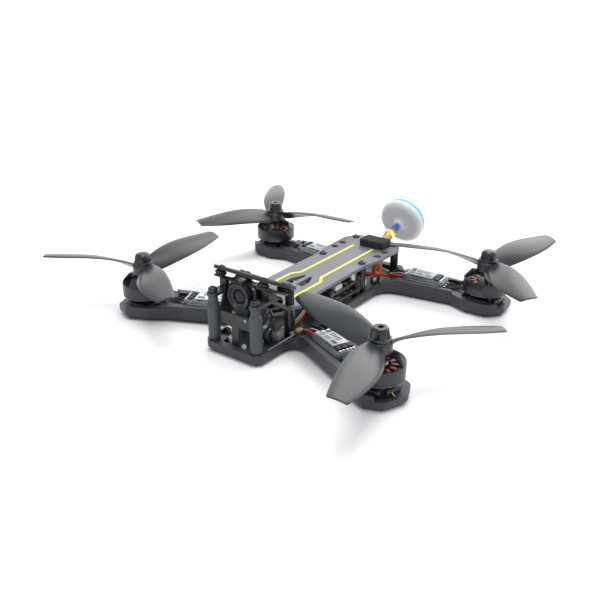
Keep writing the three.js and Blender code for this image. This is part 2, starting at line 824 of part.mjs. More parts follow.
function cameraBracket() {
  const barFront = bracketFrontY;
  const barBack = barFront + cheekThickness;
  const barTop = plateTop;
  const barBottom = plateTop - 7.6;
  const cheekBack = cameraFrontY + 9;
  const parts = [
    block(-cheekOuter, cheekOuter, barFront, barBack, barBottom, barTop),
    block(-2.7, 2.7, barFront, barBack, floorThickness, barBottom + 1),
    block(-2.7, 2.7, barFront, barFront + 7, floorThickness, floorThickness + cheekThickness),
  ];
  for (const side of [-1, 1]) {
    const [x0, x1] = [side * cheekInner, side * cheekOuter].sort((a, b) => a - b);
    parts.push(sideProfile([
      [barFront, barBottom],
      [barBack + 6, barBottom],
      [cheekBack, cameraAxisZ - 6],
      [cheekBack, cameraAxisZ + 1],
      [cheekBack - 3, cameraAxisZ + 3.4],
      [barBack + 3.6, cameraAxisZ + 3.4],
      [barBack + 2, cameraAxisZ - 2],
      [barFront, barTop],
    ], x0, x1));
  }
  const bore = pivotRadius + pivotClearance;
  return cut(join(...parts), crossRod(cheekOuter + 1, cameraPivotY, cameraAxisZ, bore));
}

function cameraCase() {
  const back = cameraFrontY + cameraDepth;
  const half = cameraHeight / 2;
  const chamfer = 1.5;
  const front = roundedShape([
    [-cameraHalf, cameraAxisZ - half, chamfer],
    [cameraHalf, cameraAxisZ - half, chamfer],
    [cameraHalf, cameraAxisZ + half, chamfer],
    [-cameraHalf, cameraAxisZ + half, chamfer],
  ]);
  const shell = slab(front, 0, cameraDepth).rotateX(Math.PI / 2).translate(0, back, 0);
  const rear = block(-7.5, 7.5, back - 1, back + 3.6, cameraAxisZ - 6.4, cameraAxisZ + 2.6);
  const pivots = crossRod(cheekOuter, cameraPivotY, cameraAxisZ, pivotRadius);
  return join(shell, rear, pivots);
}

function lensRing() {
  const seat = lensRadius - 2.1;
  return turned([
    [0, 0],
    [lensRadius - 0.4, 0],
    [lensRadius, 0.5],
    [lensRadius, lensLength - 0.5],
    [lensRadius - 0.5, lensLength],
    [lensRadius - 1.1, lensLength],
    [seat, lensLength - 1.6],
    [seat, lensLength - 2.6],
    [0, lensLength - 2.6],
  ], 20).rotateX(Math.PI / 2).translate(0, cameraFrontY, cameraAxisZ);
}

function lensGlass() {
  const radius = lensRadius - 2.4;
  const base = lensLength - 2.6;
  return turned([
    [0, base],
    [radius, base],
    [radius * 0.86, base + 0.9],
    [radius * 0.5, base + 1.6],
    [0, base + 1.9],
  ], 16).rotateX(Math.PI / 2).translate(0, cameraFrontY, cameraAxisZ);
}

function addCamera() {
  addPart('camera_bracket', 'carbon', cameraBracket());
  addPart('camera_case', 'lens', cameraCase());
  addPart('camera_lens', 'lens', lensRing());
  addPart('camera_glass', 'glass', lensGlass());
}

// ---------------------------------------------------------------- action-camera cage

// Height of the sloping damper assembly's level n (its own normal direction) at a place y.
function cageHeight(n, y) {
  const pitch = cagePitch * RADIANS;
  return plateTop + actionPlateRise - (y - actionPlateY) * Math.tan(pitch) + n / Math.cos(pitch);
}

function damperPlate() {
  const inner = cheekOuter + cameraClearance;
  const outer = actionPlateHalfWidth - 0.8;
  const barFront = cageBarFront();
  const outline = [
    [inner, barFront, 3],
    [inner, -actionPlateHalfLength + 1, 2],
    [outer, -actionPlateHalfLength + 1, 3],
    [outer, barFront + 6, 3],
  ];
  return slab(roundedShape(mirrored(outline)), damperPlateUnderside, damperPlateTop);
}

// Front edge of the damper plate's cross bar, behind the camera.
function cageBarFront() {
  return damperRearY - 2.4;
}

function actionPlate() {
  const outline = roundedShape(mirrored([
    [8, -actionPlateHalfLength, 2],
    [actionPlateHalfWidth, -actionPlateHalfLength, 3],
    [actionPlateHalfWidth, actionPlateHalfLength, 3],
    [9, actionPlateHalfLength, 2],
    [6, actionPlateHalfLength - 4, 2],
  ]));
  const half = actionPlateThickness / 2;
  const holes = [-1, 1].map((side) => slab(roundedShape([
    [side * 3, -9, 1],
    [side * 9, -9, 1],
    [side * 9, 5, 1],
    [side * 3, 5, 1],
  ]), -half - 1, half + 1));
  return cut(slab(outline, -half, half), ...holes);
}

function damper() {
  const neck = damperRadius * 0.72;
  const half = damperHeight / 2;
  return turned([
    [0, -half],
    [neck, -half],
    [damperRadius, -half * 0.45],
    [damperRadius, half * 0.45],
    [neck, half],
    [0, half],
  ], 16);
}

function addCage() {
  const cage = new THREE.Group();
  cage.position.set(0, actionPlateY, plateTop + actionPlateRise);
  cage.rotation.x = -cagePitch * RADIANS;
  addPart('action_camera_plate', 'carbon', actionPlate(), cage);
  addPart('damper_plate', 'carbon', damperPlate(), cage);
  const damperZ = -actionPlateThickness / 2 - restGap - damperHeight / 2;
  for (const [label, y] of [['front', damperFrontY], ['rear', damperRearY]]) {
    for (const [side, hand] of [[-1, 'left'], [1, 'right']]) {
      const ball = addPart(`damper_${label}_${hand}`, 'rubber', damper(), cage);
      ball.position.set(side * damperX, y, damperZ);
    }
  }
  group.add(cage);
}

// Pillars from the top plate to the action-camera plate, and wedges from the prongs to the dampers.
function addCageSupports() {
  const pillarY = cageStandoffY;
  const radius = 2.6;
  const kneeY = plateFrontY + 1 - prongRun;
  const wedgeFront = kneeY - 3;
  const wedgeBack = kneeY + 4;
  const slopeZ = prongTop - (4 * prongRise) / prongRun + restGap;
  const gap = restGap * 1.2;
  const wedgeHalf = patternX - prongInner - 0.6;
  const pillarTop = (y) => cageHeight(-actionPlateThickness / 2, y) - gap;
  const wedgeTop = (y) => cageHeight(damperPlateUnderside, y) - gap;
  for (const [side, hand] of [[-1, 'left'], [1, 'right']]) {
    const x = side * patternX;
    const above = sideProfile([
      [pillarY - 5, pillarTop(pillarY - 5)],
      [pillarY + 5, pillarTop(pillarY + 5)],
      [pillarY + 5, pillarTop(pillarY + 5) + 20],
      [pillarY - 5, pillarTop(pillarY - 5) + 20],
    ], x - 5, x + 5);
    const tall = rod(x, pillarY, plateTop, pillarTop(pillarY - 5) + 2, radius, 16);
    addPart(`cage_pillar_${hand}`, 'rubber', cut(tall, above));
    addPart(`cage_wedge_${hand}`, 'carbon', sideProfile([
      [wedgeFront, prongTop],
      [kneeY, prongTop],
      [wedgeBack, slopeZ],
      [wedgeBack, wedgeTop(wedgeBack)],
      [wedgeFront, wedgeTop(wedgeFront)],
    ], x - wedgeHalf, x + wedgeHalf));
  }
}

// ---------------------------------------------------------------- rear gear

function addVideoLink() {
  const [width, depth, height] = holderSize;
  const back = plateRearY - 8;
  const link = block(-9.5, 11, back - 15, back, plateUnderside - 5.8, plateUnderside);
  addPart('video_transmitter', 'blackMetal', link);
  const holder = slab(roundedShape([
    [antennaX - width / 2, holderCentreY - depth / 2, 1],
    [antennaX + width / 2, holderCentreY - depth / 2, 1],
    [antennaX + width / 2, holderCentreY + depth / 2, 1],
    [antennaX - width / 2, holderCentreY + depth / 2, 1],
  ]), plateTop, plateTop + height);
  addPart('foam_block', 'foam', holder);
}

function addAntenna() {
  const antenna = new THREE.Group();
  antenna.position.set(antennaX, antennaBaseY, plateTop + antennaBaseRise);
  antenna.rotation.x = (antennaPitch - 90) * RADIANS;
  addPart('sma_connector', 'gold', turned([
    [0, -4.6],
    [3.4, -4.6],
    [3.4, -3],
    [2.9, -3],
    [2.9, 4],
    [3.3, 4],
    [3.9, 4.6],
    [3.9, 10.6],
    [3.2, 11.4],
    [2.4, 11.4],
    [2.4, 12.4],
    [0, 12.4],
  ], 12), antenna);
  addPart('antenna_boot', 'bluePlastic', turned([
    [0, 12.7],
    [2.5, 12.7],
    [2.5, 16.4],
    [2, 18.2],
    [0, 18.2],
  ], 16), antenna);
  addPart('antenna_shell', 'whitePlastic', turned([
    [0, 18.5],
    [3.1, 18.5],
    [4.2, 20.8],
    [shellRadius - 5, 21.8],
    [shellRadius - 1.2, 22.8],
    [shellRadius, 24.2],
    [shellRadius, 26.6],
    [0, 26.6],
  ], 24), antenna);
  addPart('antenna_cap', 'cyanPlastic', turned([
    [0, 26.9],
    [shellRadius - 0.3, 26.9],
    [shellRadius - 0.3, 29.2],
    [shellRadius - 1.6, 31],
    [shellRadius - 6, 32.2],
    [0, 32.8],
  ], 24), antenna);
  group.add(antenna);
}

function addSmallParts() {
  const [ring, winding] = [3.4, 1.7];
  const coil = new THREE.TorusGeometry(ring, winding, 6, 14).rotateY(Math.PI / 2);
  const stand = block(-1.4, 1.4, -2.4, 2.4, -ring - winding - 4.4, -ring);
  addPart('choke_coil', 'copper', join(coil, stand))
    .position.set(boardHalf - 4.6, 52, floorThickness + ring + winding + 4.4);
  const can = new THREE.CylinderGeometry(4, 4, 13, 16).rotateZ(Math.PI / 2);
  addPart('capacitor', 'can', can).position.set(3.5, cameraFrontY + 13, floorThickness + 4);
}

// ---------------------------------------------------------------- assembly

addPart('lower_frame', 'moulding', lowerFrame());
addPart('top_plate', 'plate', topPlate());
addStandoffs();
addBoards();
addSpeedControllers();
addMotors();
addCamera();
addCage();
addCageSupports();
addVideoLink();
addAntenna();
addSmallParts();

export default group;
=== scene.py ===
"""The looks of a racing quadcopter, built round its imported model. Sizes are in millimetres."""

import math
import random

import bmesh
import bpy
from mathutils import Matrix, Vector
from mathutils.geometry import tessellate_polygon


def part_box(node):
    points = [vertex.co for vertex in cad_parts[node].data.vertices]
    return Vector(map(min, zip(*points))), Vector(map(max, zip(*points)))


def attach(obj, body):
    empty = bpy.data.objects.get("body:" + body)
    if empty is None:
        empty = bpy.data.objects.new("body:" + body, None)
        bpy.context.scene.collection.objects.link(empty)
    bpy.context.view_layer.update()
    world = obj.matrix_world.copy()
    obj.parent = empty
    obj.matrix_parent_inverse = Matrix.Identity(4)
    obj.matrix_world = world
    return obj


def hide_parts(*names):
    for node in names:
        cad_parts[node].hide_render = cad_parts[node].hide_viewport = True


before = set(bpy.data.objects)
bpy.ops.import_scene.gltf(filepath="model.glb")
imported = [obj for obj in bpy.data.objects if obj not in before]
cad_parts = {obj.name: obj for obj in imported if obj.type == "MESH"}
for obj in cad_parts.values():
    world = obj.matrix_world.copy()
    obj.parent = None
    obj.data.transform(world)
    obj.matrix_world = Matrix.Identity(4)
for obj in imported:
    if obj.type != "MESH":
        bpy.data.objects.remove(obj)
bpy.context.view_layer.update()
scene = bpy.context.scene
scene.view_settings.view_transform = "Standard"
MM = 0.001
SHELL_RADIUS = 16.5

# ------------------------------------------------------------------ places taken from the model


def span(node):
    """A node's lowest and highest corner in millimetres."""
    low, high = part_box(node)
    return low / MM, high / MM


CORNERS = {
    "front_left": (-1, -1, 1, 89),
    "front_right": (1, -1, -1, 44),
    "rear_left": (-1, 1, -1, 8),
    "rear_right": (1, 1, 1, 73),
}
SIDES = {"left": -1, "right": 1}
QUARTERS = [(sx, sy) for sx in (-1, 1) for sy in (-1, 1)]
BASE_SCREWS = ((8, 0), (-8, 0), (0, 9.5), (0, -9.5))
bell_low, bell_high = span("motor_bell_front_right")
MOTOR_X = (bell_low.x + bell_high.x) / 2
MOTOR_Y = -(bell_low.y + bell_high.y) / 2
BELL_RADIUS = (bell_high.x - bell_low.x) / 2
stator_low, stator_high = span("motor_stator_front_right")
MOTOR_FLOOR, CORE_TOP = stator_low.z, stator_high.z
FLANGE_RADIUS = (stator_high.x - stator_low.x) / 2
prop_low, prop_high = span("propeller_front_right")
nut_low, nut_high = span("prop_nut_front_right")
HUB_Z, NUT_Z, NUT_TOP = prop_low.z, nut_low.z, nut_high.z
HUB_HEIGHT = NUT_Z - HUB_Z
HUB_RADIUS = 6.7
PROP_RADIUS = 63.5
BELL_SKIRT = 12.3
BELL_SHOULDER = 20.8
BELL_TOP = HUB_Z - 0.4

frame_low, frame_high = span("lower_frame")
TAIL_Y, ARM_RIM = frame_high.y, frame_high.z
FLOOR_Z = span("mid_standoff_right")[0].z
BODY_RIM = span("front_standoff_right")[0].z
PAD_RIM = 8.9
PAD_LIP = 5.9
PAD_HALF = 15.8
PAD_CORNER_SHARE = 0.46
WALL = 2.4
BOARD_THICKNESS = 1.6
ESC_HEIGHT, ESC_SETBACK = 6.4, 41
ESC_HALF_LENGTH, ESC_HALF_WIDTH = 14.5, 6.7
ESC_FLOOR = span("speed_controller_front_right")[0].z
plate_low, plate_high = span("top_plate")
PLATE_UNDER = plate_low.z
PLATE_TOP = PLATE_UNDER + 2
PRONG_TOP = plate_high.z
PLATE_REAR = plate_high.y
PLATE_FRONT = -54
PATTERN = 15.25
standoff_box = span("front_standoff_right")
FRONT_POST_Y = (standoff_box[0].y + standoff_box[1].y) / 2
CAGE_POST_Y, MID_POST_Y, REAR_POST_Y = (
    sum(corner.y for corner in span(f"{name}_standoff_right")) / 2 for name in ("cage", "mid", "rear")
)
POST_ROWS = (FRONT_POST_Y, CAGE_POST_Y, MID_POST_Y, REAR_POST_Y)
lens_low, lens_high = span("camera_lens")
LENS_Z = (lens_low.z + lens_high.z) / 2
LENS_RADIUS = (lens_high.x - lens_low.x) / 2
CAMERA_FRONT = lens_high.y
LENS_LENGTH = lens_high.y - lens_low.y
CAGE_PITCH = math.radians(26.6)
DAMPER_X, WEDGE_SCREW_Y = 15.2, 12.3
DAMPER_ROWS = {"front": -11.5, "rear": 7}
CAGE_Y, CAGE_Z = -59.9, PLATE_TOP + 16.3
ANTENNA = Matrix.Translation((5, 75, PLATE_TOP + 0.6)) @ Matrix.Rotation(math.radians(17.5 - 90), 4, "X")
CAGE = Matrix.Translation((0, CAGE_Y, CAGE_Z)) @ Matrix.Rotation(-CAGE_PITCH, 4, "X")

# ------------------------------------------------------------------ finishes


def finish(
    name, colour, rough, metal=0.0, mottle=0.12, grain=900.0, bump=0.05, blotch=60.0, uneven=0.07, **sockets
):
    """A procedural surface: mottled colour, uneven roughness and a fine grain, all at real scale."""
    material = bpy.data.materials.new(name)
    material.use_nodes = True
    nodes, links = material.node_tree.nodes, material.node_tree.links
    shader = nodes["Principled BSDF"]
    place = nodes.new("ShaderNodeTexCoord").outputs["Object"]

    def noise(scale, detail):
        node = nodes.new("ShaderNodeTexNoise")
        node.inputs["Scale"].default_value = scale
        node.inputs["Detail"].default_value = detail
        links.new(place, node.inputs["Vector"])
        return node.outputs["Fac"]

    broad, fine = noise(blotch, 3), noise(grain, 2)
    ramp = nodes.new("ShaderNodeValToRGB")
    ramp.color_ramp.elements[0].position = 0.3
    ramp.color_ramp.elements[1].position = 0.72
    ramp.color_ramp.elements[0].color = (*[c * (1 - mottle) for c in colour], 1)
    ramp.color_ramp.elements[1].color = (*[min(1, c * (1 + mottle)) for c in colour], 1)
    links.new(broad, ramp.inputs["Fac"])
    links.new(ramp.outputs["Color"], shader.inputs["Base Color"])
    spread = nodes.new("ShaderNodeMapRange")
    spread.inputs["To Min"].default_value = max(0.02, rough - uneven)
    spread.inputs["To Max"].default_value = min(1, rough + uneven * 1.3)
    links.new(fine, spread.inputs["Value"])
    links.new(spread.outputs["Result"], shader.inputs["Roughness"])
    if bump:
        relief = nodes.new("ShaderNodeBump")
        relief.inputs["Strength"].default_value = bump
        relief.inputs["Distance"].default_value = 0.0002
        links.new(fine, relief.inputs["Height"])
        links.new(relief.outputs["Normal"], shader.inputs["Normal"])
    shader.inputs["Metallic"].default_value = metal
    for socket, value in sockets.items():
        shader.inputs[socket.replace("_", " ")].default_value = value
    return material


MOULDING = finish("charcoal_moulding", (0.024, 0.027, 0.034), 0.42, mottle=0.1, grain=1500, bump=0.14)
PLATE = finish("grey_sheet", (0.135, 0.132, 0.152), 0.44, mottle=0.05, grain=2200, bump=0.1)
# The plate's grey made darker for the prongs in front of the bend: painted shade, the same sheet in less light.
PRONG_PAINTED_SHADE = finish("prong_painted_shade", (0.035, 0.036, 0.042), 0.42, mottle=0.05, grain=2200, bump=0.1)
SLEEVE = finish("sleeve_grey", (0.047, 0.056, 0.066), 0.5, mottle=0.06, grain=1300, bump=0.06)
ANODISED = finish("black_anodised", (0.01, 0.011, 0.013), 0.24, grain=1800, bump=0.03)
BELL_BLACK = finish("bell_black", (0.012, 0.014, 0.018), 0.24, mottle=0.06, grain=300, bump=0.01, uneven=0.04)
MACHINED = finish("bare_edge", (0.55, 0.56, 0.58), 0.24, metal=1.0, grain=1600, bump=0.03)
STEEL = finish("screw_steel", (0.4, 0.4, 0.42), 0.28, metal=1.0, grain=1600, bump=0.05)
BLACK_STEEL = finish("black_screw", (0.012, 0.013, 0.015), 0.32, grain=1800, bump=0.05)
SHEET = finish("cage_sheet", (0.012, 0.013, 0.016), 0.36, mottle=0.1, grain=1800, bump=0.08)
RUBBER = finish("damper_rubber", (0.008, 0.008, 0.009), 0.6, grain=900, bump=0.1)
BLADE = finish(
    "smoky_blade", (0.022, 0.025, 0.029), 0.3, mottle=0.05, grain=60, bump=0.0, blotch=30, uneven=0.03
)
CHOKE = finish("choke_copper", (0.6, 0.17, 0.04), 0.3, metal=0.5, grain=2200, bump=0.1)
COPPER = finish("winding_copper", (0.14, 0.014, 0.008), 0.3, metal=0.4, grain=2600, bump=0.2)
LAMINATE = finish("core_steel", (0.1, 0.1, 0.1), 0.4, metal=0.9, grain=2500, bump=0.2)
GOLD = finish("gold_plate", (0.83, 0.62, 0.26), 0.2, metal=1.0, mottle=0.05, grain=1500, bump=0.03)
BLUE = finish("blue_boot", (0.02, 0.12, 0.5), 0.4, grain=1500, bump=0.05)
SHELL = finish("antenna_white", (0.62, 0.62, 0.63), 0.42, mottle=0.02, grain=1400, bump=0.03)
CYAN = finish("antenna_cyan", (0.1, 0.5, 0.72), 0.38, mottle=0.03, grain=1400, bump=0.03)
FOAM = finish("black_foam", (0.016, 0.016, 0.018), 0.9, mottle=0.35, grain=1300, bump=0.8, blotch=500)
GREY_FOAM = finish("grey_sponge", (0.06, 0.064, 0.07), 0.8, mottle=0.3, grain=1500, bump=0.5, blotch=300)
PALE_FOAM = finish("pale_sponge", (0.2, 0.2, 0.21), 0.8, mottle=0.3, grain=1500, bump=0.5, blotch=300)
PLUG_GREEN = finish(
    "plug_green_ivory", (0.3, 0.33, 0.16), 0.42, mottle=0.3, grain=1500, bump=0.05, blotch=400
)
BOARD = finish("board_lacquer", (0.012, 0.016, 0.008), 0.35, mottle=0.4, grain=1500, bump=0.1, blotch=700)
CHIP = finish("chip_epoxy", (0.008, 0.008, 0.009), 0.5, grain=1700, bump=0.1)
CONNECTOR = finish("connector_ivory", (0.5, 0.48, 0.4), 0.42, grain=1500, bump=0.05)
SOLDER = finish("solder", (0.6, 0.6, 0.62), 0.25, metal=1.0, grain=1800, bump=0.2)
CAN = finish("capacitor_can", (0.42, 0.42, 0.44), 0.3, metal=0.9, grain=1500, bump=0.06)
# Silver for the printed labels, also used for the painted highlight band on the speed controllers' sides.
LABEL_AND_PAINTED_GLINT = finish("silver_label_and_painted_glint", (0.55, 0.57, 0.6), 0.34, mottle=0.04, grain=1200, bump=0.03)
INK = finish("label_ink", (0.07, 0.075, 0.085), 0.45, grain=1200, bump=0.02)
SHRINK = finish("clear_shrink", (0.2, 0.21, 0.23), 0.16, mottle=0.35, grain=500, bump=0.15, blotch=350)
YELLOW = finish("stripe_yellow", (0.8, 0.74, 0.03), 0.5, mottle=0.05, grain=2000, bump=0.04)
LENS_BLACK = finish("lens_black", (0.011, 0.012, 0.014), 0.34, grain=1800, bump=0.05)
NYLON = finish("black_nylon", (0.01, 0.01, 0.012), 0.5, grain=1500, bump=0.05)
WHITE_NYLON = finish("white_nylon", (0.6, 0.6, 0.58), 0.45, grain=1500, bump=0.05)
GLASS = finish(
    "coated_glass", (0.004, 0.006, 0.012), 0.05, mottle=0.3, bump=0, uneven=0.02, Specular_IOR_Level=0.3
)
WIRES = {
    "red": finish("wire_red", (0.55, 0.015, 0.012), 0.4, grain=1200, bump=0.06),
    "black": finish("wire_black", (0.009, 0.009, 0.01), 0.42, grain=1200, bump=0.06),
    "white": finish("wire_white", (0.6, 0.6, 0.59), 0.42, grain=1200, bump=0.06),
    "yellow": finish("wire_yellow", (0.6, 0.42, 0.02), 0.42, grain=1200, bump=0.06),
}

# ------------------------------------------------------------------ making pieces


def placed(shape, transform):
    """A bmesh moved and turned into its place."""
    shape.transform(transform)
    return shape


def piece(name, shape, materials, body="airframe", replaces=(), bevel=0.0, sharp=38):
    """Turns a bmesh in millimetres into a finished object that rides on a body."""
    bmesh.ops.scale(shape, vec=(MM, MM, MM), verts=shape.verts)
    mesh = bpy.data.meshes.new(name)
    shape.to_mesh(mesh)
    shape.free()
    return dressed(name, mesh, materials, body, replaces, bevel, sharp)


def dressed(name, mesh, materials, body, replaces=(), bevel=0.0, sharp=38):
    """Gives a mesh in metres its materials, soft edges and body, and hides the parts it replaces."""
    obj = bpy.data.objects.new(name, mesh)
    scene.collection.objects.link(obj)
    for material in materials if isinstance(materials, (list, tuple)) else [materials]:
        mesh.materials.append(material)
    mesh.shade_smooth()
    mesh.set_sharp_from_angle(angle=math.radians(sharp))
    if bevel:
        edge = obj.modifiers.new("soft_edges", "BEVEL")
        edge.width = bevel * MM
        edge.segments = 2
        edge.limit_method = "ANGLE"
        edge.angle_limit = math.radians(35)
        edge.use_clamp_overlap = True
        edge.harden_normals = True
    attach(obj, body)
    if replaces:
        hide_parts(*replaces)
    return obj


def merged(*shapes):
    """Several bmeshes as one, each keeping its own shell."""
    whole = bmesh.new()
    for shape in shapes:
        mesh = bpy.data.meshes.new("part")
        shape.to_mesh(mesh)
        shape.free()
        whole.from_mesh(mesh)
        bpy.data.meshes.remove(mesh)
    return whole


def painted(shape, index):
    """Sets every face of a bmesh to one of its piece's materials."""
    for face in shape.faces:
        face.material_index = index
    return shape


def rounded(corners, steps=7):
    """A smooth closed outline through corners given as (x, y, radius)."""
    outline = []
    for i, corner in enumerate(corners):
        at = Vector(corner[:2])
        back = Vector(corners[i - 1][:2]) - at
        ahead = Vector(corners[(i + 1) % len(corners)][:2]) - at
        radius = corner[2] if len(corner) > 2 else 0
        reach = min(
            radius / max(math.tan(back.angle(ahead) / 2), 1e-6), 0.45 * min(back.length, ahead.length)
        )
        if reach < 1e-3:
            outline.append(at)
            continue
        start, end = at + back.normalized() * reach, at + ahead.normalized() * reach
        for k in range(steps + 1):
            t = k / steps
            outline.append(start * (1 - t) ** 2 + at * 2 * t * (1 - t) + end * t * t)
    return outline


def mirrored(half):
    """A right-hand half outline, given front to rear, with its left-hand copy."""
    return half + [(-c[0], *c[1:]) for c in reversed(half)]


def ring_loft(rings, close_start=True, close_end=True, loop=False):
    """Skins closed rings of points that all have the same count."""
    shape = bmesh.new()
    rows = [[shape.verts.new(p) for p in ring] for ring in rings]
    count = len(rows[0])
    pairs = list(zip(rows, rows[1:])) + ([(rows[-1], rows[0])] if loop else [])
    for low, high in pairs:
        for k in range(count):
            n = (k + 1) % count
            shape.faces.new((low[k], low[n], high[n], high[k]))
    if close_start and not loop:
        shape.faces.new(list(reversed(rows[0])))
    if close_end and not loop:
        shape.faces.new(rows[-1])
    bmesh.ops.recalc_face_normals(shape, faces=shape.faces)
    return shape


def inset(outline, amount):
    """The outline moved inwards by an amount, for outlines that run anticlockwise."""
    moved = []
    for i, at in enumerate(outline):
        before = (at - outline[i - 1]).normalized()
        after = (outline[(i + 1) % len(outline)] - at).normalized()
        along = (before + after).normalized()
        moved.append(at + Vector((-along.y, along.x)) * amount / max(0.5, along.dot(before)))
    return moved


def slab(outline, low, high, edge=0.0):
    """A flat solid of an outline between two heights, with its edges rounded."""
    levels = [(0, low), (0, high)]
    if edge:
        levels = [(edge, low), (edge * 0.3, low + edge * 0.3), (0, low + edge)]
        levels += [(0, high - edge), (edge * 0.3, high - edge * 0.3), (edge, high)]
    return ring_loft([[(*p, z) for p in inset(outline, i)] for i, z in levels])


def holed_slab(outline, holes, low, high):
    """A flat solid with holes through it."""
    loops = [outline, *holes]
    flat = [p for loop in loops for p in loop]
    triangles = tessellate_polygon([[Vector((*p, 0)) for p in loop] for loop in loops])
    shape = bmesh.new()
    bottom = [shape.verts.new((*p, low)) for p in flat]
    top = [shape.verts.new((*p, high)) for p in flat]
    for a, b, c in triangles:
        if len({a, b, c}) == 3:
            shape.faces.new((top[a], top[b], top[c]))
            shape.faces.new((bottom[c], bottom[b], bottom[a]))
    first = 0
    for loop in loops:
        for k in range(len(loop)):
            a, b = first + k, first + (k + 1) % len(loop)
            shape.faces.new((bottom[a], bottom[b], top[b], top[a]))
        first += len(loop)
    bmesh.ops.recalc_face_normals(shape, faces=shape.faces)
    return shape


def disc(x, y, radius, count=28):
    """A round outline, anticlockwise."""
    return [
        Vector((x + radius * math.cos(a), y + radius * math.sin(a)))
        for a in (2 * math.pi * k / count for k in range(count))
    ]


def softened(profile, radius):
    """A turning profile with its outer corners rounded."""
    out = [profile[0]]
    for before, at, after in zip(profile, profile[1:], profile[2:]):
        at, back, ahead = Vector(at), Vector(before) - Vector(at), Vector(after) - Vector(at)
        reach = min(radius, 0.4 * back.length, 0.4 * ahead.length)
        if reach < 0.02 or back.length == 0 or ahead.length == 0:
            out.append(tuple(at))
            continue
        start, end = at + back.normalized() * reach, at + ahead.normalized() * reach
        out += [tuple(start * (1 - t) ** 2 + at * 2 * t * (1 - t) + end * t * t) for t in (0, 0.5, 1)]
    return out + [profile[-1]]


def turned(profile, around=48, soft=0.25):
    """A solid of revolution about Z from (radius, height) points that start and end on the axis."""
    profile = softened(profile, soft) if soft else profile
    shape = bmesh.new()
    rows = []
    for radius, height in profile:
        if radius < 1e-6:
            rows.append([shape.verts.new((0, 0, height))])
            continue
        rows.append([shape.verts.new((p.x, p.y, height)) for p in disc(0, 0, radius, around)])
    for low, high in zip(rows, rows[1:]):
        for k in range(around):
            n = (k + 1) % around
            ring = [low[k % len(low)], low[n % len(low)], high[n % len(high)], high[k % len(high)]]
            ring = list(dict.fromkeys(ring))
            if len(ring) > 2:
                shape.faces.new(ring)
    bmesh.ops.remove_doubles(shape, verts=shape.verts, dist=1e-5)
    bmesh.ops.recalc_face_normals(shape, faces=shape.faces)
    return shape


def closed_turn(profile, around=48, soft=0.2):
    """A ring of revolution about Z from a profile that closes on itself."""
    loop = softened([profile[-1], *profile, profile[0]], soft)[1:-1] if soft else profile
    rings = []
    for k in range(around):
        a = 2 * math.pi * k / around
        rings.append([(r * math.cos(a), r * math.sin(a), z) for r, z in loop])
    return ring_loft(rings, loop=True)


def brick(size, centre=(0, 0, 0), edge=0.2):
    """A box with rounded edges."""
    x, y, z = (s / 2 for s in size)
    corner = min(edge * 1.6, x * 0.6, y * 0.6)
    outline = rounded([(-x, -y, corner), (x, -y, corner), (x, y, corner), (-x, y, corner)], 3)
    return placed(slab(outline, -z, z, min(edge, z * 0.6)), Matrix.Translation(centre))


def smooth_path(points, per_span=8):
    """A smooth curve through points."""
    points = [Vector(p) for p in points]
    ends = [points[0] * 2 - points[1], *points, points[-1] * 2 - points[-2]]
    path = []
    for a, b, c, d in zip(ends, ends[1:], ends[2:], ends[3:]):
        for k in range(per_span):
            t = k / per_span
            path.append(
                0.5 * (
                    2 * b + (c - a) * t
                    + (2 * a - 5 * b + 4 * c - d) * t * t + (3 * b - a - 3 * c + d) * t**3
                )
            )
    return path + [points[-1]]


def wire(points, radius=0.6, around=10):
    """A round wire along a smooth path, closed at both ends."""
    path = smooth_path(points)
    rings = []
    side = None
    for i, at in enumerate(path):
        ahead = (path[min(i + 1, len(path) - 1)] - path[max(i - 1, 0)]).normalized()
        side = ahead.orthogonal() if side is None else side - ahead * side.dot(ahead)
        side.normalize()
        up = ahead.cross(side)
        turns = (2 * math.pi * k / around for k in range(around))
        rings.append([at + (side * math.cos(a) + up * math.sin(a)) * radius for a in turns])
    return ring_loft(rings)


def carved(shape, tools, operation="DIFFERENCE"):
    """Cuts tools out of a bmesh, or adds them to it, and returns the result as a bmesh."""

    def holder(bm):
        mesh = bpy.data.meshes.new("carving")
        bm.to_mesh(mesh)
        bm.free()
        obj = bpy.data.objects.new("carving", mesh)
        scene.collection.objects.link(obj)
        return obj

    base = holder(shape)
    helpers = [holder(tool) for tool in tools]
    for helper in helpers:
        step = base.modifiers.new("carve", "BOOLEAN")
        step.operation, step.object, step.solver = operation, helper, "EXACT"
    mesh = bpy.data.meshes.new_from_object(base.evaluated_get(bpy.context.evaluated_depsgraph_get()))
    result = bmesh.new()
    result.from_mesh(mesh)
    bmesh.ops.remove_doubles(result, verts=result.verts, dist=1e-4)
    bpy.data.meshes.remove(mesh)
    for obj in [base, *helpers]:
        bpy.data.objects.remove(obj)
    return result


# ------------------------------------------------------------------ repeated parts


